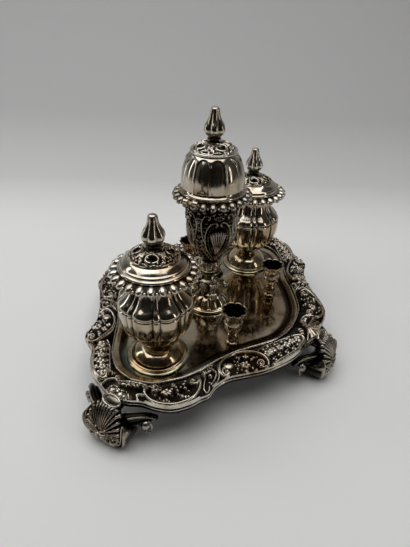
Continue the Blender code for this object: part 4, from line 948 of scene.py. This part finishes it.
def corner_plate(work):
    """A notched plate with a raised edge and a long leaf on its inner side."""
    work.steps = 4
    for place in ((-3.0, -4.0), (-6.6, -3.0), (-4.0, 3.4), (-3.4, 8.4)):
        work.boss(place, 9.0, 8.0, 0.2, 0.0, 0.3)
    work.scroll([(-1.0, -5.6), (-5.0, -6.2), (-7.4, -2.4), (-6.0, 2.4), (-7.0, 7.0), (-4.4, 10.2), (-1.2, 8.8)],
                1.0, 1.5, 0.9)
    work.frond([(-6.0, -1.0), (-4.2, 2.8), (-4.0, 7.4)], 3.6, 1.3, 3)
    work.frond([(-5.6, -2.0), (-3.6, -4.6), (-1.2, -5.0)], 2.8, 1.2, 2)
    work.scroll([(1.0, -6.2), (-0.4, -7.4), (-0.6, -10.6), (-4.0, -12.4), (-8.8, -10.6), (-11.8, -6.2),
                 (-11.0, -3.6)], 1.9, 2.4)
    work.scroll([(1.0, 9.4), (-0.8, 10.6), (-2.8, 13.4), (-4.9, 16.2), (-6.6, 15.6), (-7.9, 14.0), (-9.4, 15.4),
                 (-10.2, 17.4)], 1.7, 2.3)
    work.scroll([(-9.6, -1.6), (-12.6, -2.0), (-15.4, 1.0), (-17.4, 5.4), (-18.8, 10.0), (-18.4, 14.4)], 1.7, 2.1)
    work.frond([(-9.6, 0.2), (-13.2, 3.4), (-15.6, 8.4), (-17.0, 14.0)], 5.6, 2.2, 5, 1.0)
    work.boss((-11.2, 1.6), 5.6, 3.2, 2.4, math.atan2(*work.at(0.0, 0.0)[::-1]) + 2.2)
    work.frond([(-17.0, -16.0), (-16.0, -9.0), (-13.6, -3.6)], 4.4, 1.3, 5)
    for v in (-3.2, 0.4, 4.0):
        work.boss((-2.4, v), 1.4, 1.4, 0.7, 0.0, 0.6)
    work.steps = 6


# The border's outer edge from its face down to the flange: reach out of the rim, height, tone; low tones paint shade
# in the undercuts and underneath
SKIRT = (
    (0.3, 2.4, 0.95), (0.6, 1.7, 0.8), (0.1, 1.0, 0.3), (-0.4, 0.5, 0.05), (-0.1, 0.1, 0.3), (0.4, -0.3, 0.9),
    (0.5, -0.8, 0.9), (0.1, -1.4, 0.4), (-0.4, -2.2, 0.1), (-0.7, -3.2, 0.05), (-0.6, -4.0, 0.05),
    (-2.6, -4.0, 0.2), (-2.6, 0.0, 0.1),
)


def build_border(index):
    """One cast border section: its chased face, its skirt, and its underside on the flange."""
    work = border_chasing(index)
    columns, rows = work.height.shape
    points, tones = [], []
    for c in range(columns):
        for r in range(rows):
            points.append((*work.flat[c, r], BORDER_SEAT + float(work.height[c, r])))
            tones.append(float(work.tone[c, r]))
        outer, inner = work.flat[c, -1], work.flat[c, 0]
        outward = (outer - inner) / np.linalg.norm(outer - inner)
        for reach, height, tone in SKIRT:
            points.append((*(outer + outward * reach), BORDER_SEAT + height))
            tones.append(tone)
        points.append((*inner, BORDER_SEAT))
        tones.append(0.2)
    count = rows + len(SKIRT) + 1
    faces = grid_faces(columns, count, wrap_columns=True)
    faces += [tuple(range(count)), tuple(range((columns - 1) * count, columns * count))]
    shape = Shape()
    shape.add(points, faces, tones)
    add_corner_pad(shape, index)
    make_piece(f"border_cast_{index + 1}", shape, finishes["cast"], stands_for=f"border_side_{index + 1}", sharp=80.0)


def add_corner_pad(shape, index):
    """The oval plate, with a raised rim, where the foot's top meets the corner of the border."""
    place, ahead, aside = corner_frame(index)
    pad = (ahead * 0.62 + UP * 0.78).normalized()
    deep = pad.cross(aside)
    centre = place + ahead * 1.2 + aside + UP * 32.6
    hoop = [centre + aside * 6.6 * math.cos(a) + deep * 3.5 * math.sin(a) + pad * 0.9 for a in circle(40)]
    tube(shape, hoop, 0.65, up=pad)
    lump(shape, centre - pad * 0.6, aside, 13.6, 7.4, 1.5, pad, 0.5, 24, 12)


# The foot in side view: outward, up and half width outside, and outward and up inside
FOOT_LINE = (
    (1.8, 30.0, 8.6), (5.0, 28.4, 11.2), (8.2, 24.4, 14.4), (10.2, 18.4, 17.0), (10.6, 12.8, 17.6), (9.8, 7.2, 16.4),
    (7.8, 2.6, 13.6), (5.0, 0.0, 10.2),
)
FOOT_INSIDE = ((0.6, 0.0), (-2.8, 4.5), (-3.6, 10.0), (-1.5, 15.0), (2.0, 16.9), (2.6, 21.1), (1.5, 23.2))


def foot_chasing(columns=130, rows=130):
    """The chased face of a foot: a shell over a strap and a palmette, between two scrolls."""
    line = smooth_path(FOOT_LINE, 12)[::-1]
    steps = [0.0]
    for before, after in zip(line, line[1:]):
        steps.append(steps[-1] + math.hypot(after.x - before.x, after.y - before.y))
    places = np.linspace(0.0, steps[-1], rows)
    out, up, half = [np.interp(places, steps, [point[axis] for point in line]) for axis in range(3)]
    share = np.linspace(-1.0, 1.0, columns)
    flat = np.array([[(v * half[r], places[r]) for r in range(rows)] for v in share])
    ends = np.clip(np.minimum(places / 3.0, (places[-1] - places) / 3.0), 0.0, 1.0)
    work = Chasing(flat, np.array([(2.9 * (1.0 - v * v) - 0.9) * ends for v in share]), 0.06)
    for rib in range(19):
        lean = math.radians(-108.0 + 12.0 * rib)
        start, reach = [(r * math.sin(lean), 16.0 + h * math.cos(lean)) for r, h in ((2.2, 2.4), (12.6, 20.6))]
        middle = ((start[0] + reach[0]) / 2.0, (start[1] + reach[1]) / 2.0)
        work.ridge([start, middle, reach], lambda share: 0.5 + 1.8 * share, 1.6, 0.8)
        if abs(lean) > 0.5:
            work.boss(reach, 2.9, 2.4, 2.1, math.pi / 2.0 - lean)
    for side in SIDES:
        work.at = lambda x, h, side=side: (side * x, h)
        work.scroll([(10.6, 31.4), (12.6, 32.6), (14.8, 29.6), (16.6, 22.0), (16.4, 13.6), (13.8, 6.4), (9.6, 2.6),
                     (5.8, 3.4), (4.6, 6.8), (6.2, 9.4)], 1.8, 2.4)
        work.scroll([(14.4, 24.6), (14.8, 17.2), (13.2, 10.2), (10.2, 5.8)], 1.3, 1.7, 0.85)
        work.boss((8.8, 10.2), 6.2, 6.2, 3.6)
        work.boss((10.8, 31.0), 2.8, 2.8, 2.6)
        work.ridge([(0.0, 16.4), (3.8, 19.2)], 1.2, 2.6)
        work.scroll([(0.4, 12.4), (2.4, 13.0), (4.2, 12.6)], 1.5, 3.1)
        work.scroll([(0.4, 14.8), (2.2, 15.2), (3.8, 14.6)], 1.5, 3.1)
    for h in (12.4, 14.8):
        work.ridge([(-1.0, h), (1.0, h)], 1.5, 3.1)
    for rib in range(-2, 3):
        work.ridge([(rib * 0.9, 11.2), (rib * 1.9, 5.8), (rib * 2.6, 1.4)], lambda share: 1.0 + 1.5 * share, 2.3, 0.95)
    return work, out, up


def build_foot(number, work, out, up):
    """A cast scroll foot at one corner of the tray, with its scroll brackets under the rim."""
    place, ahead, aside = corner_frame(number - 1)

    def at(x, y, z):
        return place + ahead * x + aside * y + UP * z

    columns, rows = work.height.shape
    along = np.gradient(np.array([out, up]), axis=1)
    along /= np.linalg.norm(along, axis=0)
    shares = np.linspace(0.0, len(FOOT_INSIDE) - 1.0, rows)
    inside = [np.interp(shares, range(len(FOOT_INSIDE)), [point[axis] for point in FOOT_INSIDE]) for axis in (0, 1)]
    fronts, backs, tones = [], [], []
    for c in range(columns):
        for r in range(rows):
            push, across = float(work.height[c, r]), float(work.flat[c, r, 0])
            fronts.append(at(out[r] + along[1, r] * push, across, max(up[r] - along[0, r] * push, 0.02)))
            backs.append(at(inside[0][r], across * 0.97, inside[1][r]))
            tones.append(float(work.tone[c, r]))
    shape = Shape()
    # The foot's back and its neck are toned near black: painted shade under the border.
    shape.add(fronts + backs, slab_faces(columns, rows), tones + [0.05] * len(backs))
    neck = smooth_path([at(-14.0, 0.0, 27.4), at(-6.0, 0.0, 27.2), at(0.6, 0.0, 26.6), at(4.0, 0.0, 25.0)], 4)
    tube(shape, neck, 7.4, 16, 0.3, 0.1)
    for side in SIDES:
        add_wing(shape, at, ahead, aside * side, side)
    make_piece(f"foot_cast_{number}", shape, finishes["foot"], stands_for=f"foot_{number}", sharp=80.0)


def add_wing(shape, at, ahead, outward, side):
    """A foot's scroll bracket on one side: an arm and a web, both toned near black as painted shade, and a ball in a
    beaded ring.
    """
    arm, shade_web = [
        smooth_path([at(x, side * y, z) for x, y, z in places], steps) for steps, places in (
            (8, ((2.4, 9.0, 22.0), (0.8, 14.4, 23.6), (-3.2, 19.6, 24.0), (-7.6, 24.4, 22.6), (-10.6, 28.4, 20.0))),
            (6, ((0.6, 9.0, 14.0), (-1.8, 14.0, 18.0), (-5.6, 20.0, 20.4), (-9.6, 25.6, 20.4))),
        )
    ]
    # The arm and the web below it are toned near black: painted shade between the bracket and the rim.
    tube(shape, arm, lambda u: 3.4 - 1.6 * u, 12, 1.0, 0.1)
    tube(shape, [point + ahead * 2.4 + UP * 1.2 for point in arm[6:]], 0.7, 8, 1.0, 0.55)
    tube(shape, shade_web, lambda u: 5.0 - 1.6 * u, 12, 0.8, 0.05)
    ball = at(-4.4, side * 22.8, 17.2)
    bead(shape, ball, 3.7, UP, 0.95, 20, 14)

    def around(degrees, reach):
        angle = math.radians(degrees)
        return ball + (outward * math.cos(angle) + UP * math.sin(angle)) * reach

    tube(shape, [around(160.0 + 11.0 * k, 5.2 - 0.025 * k) for k in range(25)], 0.85, 8, 1.0, 0.7, ahead)
    for k in range(5):
        bead(shape, around(200.0 + 24.0 * k, 6.6), 1.2, ahead, 0.6, 10, 8)


def new_camera():
    """The photograph's viewpoint."""
    data = bpy.data.cameras.new("camera")
    camera = bpy.data.objects.new("camera", data)
    bpy.context.scene.collection.objects.link(camera)
    pitch, roll = math.radians(CAMERA_PITCH), math.radians(CAMERA_ROLL)
    forward = VIEW_AHEAD * math.cos(pitch) - UP * math.sin(pitch)
    up = VIEW_RIGHT.cross(forward)
    tilted_right = VIEW_RIGHT * math.cos(roll) + up * math.sin(roll)
    tilted_up = up * math.cos(roll) - VIEW_RIGHT * math.sin(roll)
    turn = Matrix((tilted_right, tilted_up, -forward)).transposed().to_4x4()
    camera.matrix_world = Matrix.Translation(CAMERA_PLACE) @ turn
    data.sensor_fit = "VERTICAL"
    data.sensor_height = 36.0
    data.lens = 29.58
    bpy.context.scene.camera = camera


def stage_piece(name, points, faces, finish):
    """A plain surface of the studio."""
    mesh = bpy.data.meshes.new(name)
    mesh.from_pydata([tuple(point) for point in points], [], faces)
    mesh.shade_smooth()
    mesh.materials.append(finish)
    item = bpy.data.objects.new(name, mesh)
    bpy.context.scene.collection.objects.link(item)
    return item


def studio():
    """A pale table that sweeps up into a backdrop, and a dark cloth by the camera that only the silver sees."""
    start, radius, half = 0.17, 0.46, 3.0
    profile = [(-3.0, 0.0), (0.0, 0.0), (start, 0.0)]
    for step in range(1, 25):
        angle = math.radians(90.0) * step / 24.0
        profile.append((start + radius * math.sin(angle), radius * (1.0 - math.cos(angle))))
    profile.append((start + radius, 3.0))
    points = [VIEW_AHEAD * x + VIEW_RIGHT * end + UP * z for x, z in profile for end in (-half, half)]
    stage_piece("sweep", points, grid_faces(len(profile), 2), paper_material())
    edges = ((-1.1, 0.0), (1.1, 0.0), (1.1, 1.5), (-1.1, 1.5))
    wall = [VIEW_AHEAD * -0.62 + VIEW_RIGHT * x + UP * z for x, z in edges]
    look = Look("dark_cloth")
    look.shader.inputs["Base Color"].default_value = (0.008, 0.007, 0.006, 1.0)
    look.shader.inputs["Roughness"].default_value = 0.95
    stage_piece("dark_wall", wall, [(0, 1, 2, 3)], look.made).visible_camera = False


def lamp(name, place, target, width, height, power):
    """A soft rectangular lamp that looks at a target."""
    data = bpy.data.lights.new(name, "AREA")
    data.shape = "RECTANGLE"
    data.size = width
    data.size_y = height
    data.energy = power
    item = bpy.data.objects.new(name, data)
    bpy.context.scene.collection.objects.link(item)
    item.location = place
    item.rotation_euler = (Vector(target) - Vector(place)).to_track_quat("-Z", "Y").to_euler()


def world():
    """Dim, even room light."""
    made = bpy.data.worlds.new("room")
    made.use_nodes = True
    back = made.node_tree.nodes["Background"]
    back.inputs["Color"].default_value = (0.13, 0.125, 0.12, 1.0)
    back.inputs["Strength"].default_value = 0.5
    bpy.context.scene.world = made


class Look:
    """A material with the node steps that the finishes share."""

    def __init__(self, name, metallic=0.0):
        self.made = bpy.data.materials.new(name)
        self.made.use_nodes = True
        self.nodes = self.made.node_tree.nodes
        self.links = self.made.node_tree.links
        self.shader = self.nodes["Principled BSDF"]
        self.shader.inputs["Metallic"].default_value = metallic
        self.where = self.nodes.new("ShaderNodeTexCoord").outputs["Object"]

    def feed(self, socket, output):
        """Link an output to one of the shader's sockets."""
        self.links.new(output, self.shader.inputs[socket])

    def noise(self, scale, detail, stretch=(1.0, 1.0, 1.0)):
        """A noise texture in the piece's own coordinates."""
        spread = self.nodes.new("ShaderNodeMapping")
        spread.inputs["Scale"].default_value = stretch
        self.links.new(self.where, spread.inputs["Vector"])
        texture = self.nodes.new("ShaderNodeTexNoise")
        texture.inputs["Scale"].default_value = scale
        texture.inputs["Detail"].default_value = detail
        self.links.new(spread.outputs["Vector"], texture.inputs["Vector"])
        return texture.outputs["Fac"]

    def height(self):
        """The height over the table."""
        parts = self.nodes.new("ShaderNodeSeparateXYZ")
        self.links.new(self.where, parts.inputs["Vector"])
        return parts.outputs["Z"]

    def ramp(self, value, *stops):
        """A colour ramp of (position, colour) stops read by a value."""
        made = self.nodes.new("ShaderNodeValToRGB")
        elements = made.color_ramp.elements
        while len(elements) < len(stops):
            elements.new(0.5)
        for element, (position, colour) in zip(elements, stops):
            element.position = position
            element.color = (*colour, 1.0)
        self.links.new(value, made.inputs["Fac"])
        return made.outputs["Color"]

    def span(self, value, start, end, low, high):
        """A value from start to end spread over low to high."""
        made = self.nodes.new("ShaderNodeMapRange")
        for socket, number in (("From Min", start), ("From Max", end), ("To Min", low), ("To Max", high)):
            made.inputs[socket].default_value = number
        self.links.new(value, made.inputs["Value"])
        return made.outputs["Result"]

    def blend(self, kind, share, first, second):
        """Two colours mixed; share is a number or an output."""
        made = self.nodes.new("ShaderNodeMix")
        made.data_type = "RGBA"
        made.blend_type = kind
        if isinstance(share, float):
            made.inputs["Factor"].default_value = share
        else:
            self.links.new(share, made.inputs["Factor"])
        self.links.new(first, made.inputs["A"])
        self.links.new(second, made.inputs["B"])
        return made.outputs["Result"]

    def bump(self, value, strength, distance):
        """Fine relief from a value."""
        made = self.nodes.new("ShaderNodeBump")
        made.inputs["Strength"].default_value = strength
        made.inputs["Distance"].default_value = distance
        self.links.new(value, made.inputs["Height"])
        self.feed("Normal", made.outputs["Normal"])


def paper_material():
    """Pale paper, with painted shade: a darker grey where the backdrop rises behind the object, for light that falls
    off with height.
    """
    look = Look("paper")
    look.shader.inputs["Roughness"].default_value = 0.75
    # Painted shade: the paper's colour darkens with height up the backdrop.
    look.feed("Base Color", look.ramp(
        look.height(), (0.0, (0.83, 0.83, 0.82)), (0.02, (0.61, 0.61, 0.605)), (0.08, (0.47, 0.47, 0.47)),
    ))
    return look.made


def foot_crust(look):
    """Green crust on the lowest step of a foot: its share, dark colour and pale colour."""
    return look.span(look.height(), 0.0308, 0.0296, 0.0, 0.8), (0.12, 0.17, 0.13), (0.34, 0.38, 0.30)


def tray_crust(look):
    """Green crust on the tray round the inkwells' feet: its share, dark colour and pale colour."""
    least = look.nodes.new("ShaderNodeMath")
    least.operation = "MINIMUM"
    for i, x in enumerate(INKWELLS.values()):
        gap = look.nodes.new("ShaderNodeVectorMath")
        gap.operation = "DISTANCE"
        gap.inputs[1].default_value = (x * MM, 0.0, FLOOR * MM)
        look.links.new(look.where, gap.inputs[0])
        look.links.new(gap.outputs["Value"], least.inputs[i])
    near = look.span(least.outputs["Value"], 0.0272, 0.0235, 0.0, 0.75)
    return near, (0.14, 0.19, 0.14), (0.30, 0.33, 0.26)


def silver_material(name, bright, warm, rough, grain=5.0, crust=None):
    """Tarnished silver plate: brown-gold patches, recesses, insides and undersides painted near black from the tone
    attribute as painted shade (partly the real tarnish in hollows), worn bright crests and fine wear.
    """
    look = Look(name, 1.0)
    spots = look.noise(120.0, grain)
    between = tuple(0.5 * (a + b) for a, b in zip(bright, warm))
    tint = look.ramp(look.noise(26.0, 5.0), (0.38, bright), (0.55, between), (0.68, warm))
    spotted = look.ramp(spots, (0.3, (0.45, 0.4, 0.33)), (0.48, (1.0, 1.0, 1.0)))
    tone = look.nodes.new("ShaderNodeAttribute")
    tone.attribute_name = "tone"
    # Painted shade: the tone attribute turns low places, insides and undersides near black and keeps crests at full
    # colour; part of it is the tarnish that gathers in hollows.
    depth = look.ramp(tone.outputs["Fac"], (0.06, (0.01, 0.008, 0.006)), (0.34, (0.13, 0.11, 0.08)),
                      (0.62, (0.75, 0.73, 0.7)), (0.85, (1.0, 1.0, 1.0)))
    colour = look.blend("MULTIPLY", 1.0, look.blend("MULTIPLY", 0.75, tint, spotted), depth)
    if crust:
        share, dark, pale = crust(look)
        colour = look.blend("MIX", share, colour, look.ramp(spots, (0.4, dark), (0.62, pale)))
    look.feed("Base Color", colour)
    look.feed("Roughness", look.span(look.noise(60.0, 4.0, (9.0, 9.0, 0.7)), 0.35, 0.65, *rough))
    look.bump(look.noise(900.0, 3.0), 0.06, 0.0002)
    return look.made


def brass_material():
    """Dull brass with brown spots for the fasteners."""
    look = Look("aged_brass", 1.0)
    spots = look.noise(260.0, 5.0)
    look.feed("Base Color", look.ramp(spots, (0.35, (0.16, 0.09, 0.03)), (0.65, (0.56, 0.38, 0.14))))
    look.feed("Roughness", look.span(spots, 0.0, 1.0, 0.25, 0.6))
    return look.made


def glass_material():
    """Clear, faintly green glass with slow thickness waves, for the ink liners."""
    look = Look("liner_glass")
    look.shader.inputs["Transmission Weight"].default_value = 1.0
    look.shader.inputs["IOR"].default_value = 1.48
    waves = look.noise(90.0, 2.0)
    look.feed("Base Color", look.ramp(waves, (0.3, (0.78, 0.86, 0.83)), (0.7, (0.93, 0.96, 0.94))))
    look.feed("Roughness", look.span(waves, 0.0, 1.0, 0.02, 0.12))
    look.bump(waves, 0.1, 0.0003)
    return look.made


finishes = {
    "silver": silver_material("plate_silver", (0.60, 0.56, 0.48), (0.34, 0.23, 0.12), (0.08, 0.2)),
    "cast": silver_material("cast_silver_dark", (0.70, 0.66, 0.59), (0.42, 0.33, 0.23), (0.15, 0.3)),
    "foot": silver_material("foot_silver_dark", (0.46, 0.43, 0.39), (0.26, 0.21, 0.15), (0.16, 0.32)),
    # A darker copy of the silver for the vase cup: painted shade.
    "cup": silver_material("cup_silver_dark", (0.30, 0.27, 0.23), (0.18, 0.13, 0.09), (0.14, 0.3)),
    "tray": silver_material("tray_silver", (0.56, 0.49, 0.38), (0.25, 0.16, 0.07), (0.06, 0.13), 1.0, tray_crust),
    "gold": silver_material("warm_silver", (0.60, 0.52, 0.38), (0.44, 0.29, 0.13), (0.08, 0.22), 5.0, foot_crust),
    "bowl": silver_material("bowl_silver", (0.60, 0.54, 0.43), (0.36, 0.24, 0.11), (0.08, 0.2)),
    "stem": silver_material("stem_silver", (0.50, 0.44, 0.34), (0.32, 0.21, 0.10), (0.14, 0.3)),
}
brass = brass_material()
glass = glass_material()
build_pan()
for index in range(4):
    build_border(index)
chased_foot = foot_chasing()
for number in range(1, 5):
    build_foot(number, *chased_foot)
for tag, x in INKWELLS.items():
    build_inkwell(tag, x)
build_vase()
build_pen_cups()
for name in frame["nodes"]:
    item = bpy.data.objects.get(name)
    if item and item.type == "MESH" and any(word in name for word in ("bolt", "nut", "pin", "liner")):
        item.data.materials.clear()
        item.data.materials.append(glass if "liner" in name else brass)
new_camera()
studio()
lamp("overhead", (-0.05, 0.15, 1.2), (0.05, 0.0, 0.0), 1.7, 1.7, 17.5)
lamp("left_strip", (-0.3, 0.62, 0.3), (0.0, 0.0, 0.08), 0.07, 0.5, 0.45)
lamp("right_strip", (0.0, -0.75, 0.3), (0.0, 0.0, 0.08), 0.07, 0.5, 0.45)
world()
bpy.context.scene.view_settings.view_transform = "Standard"
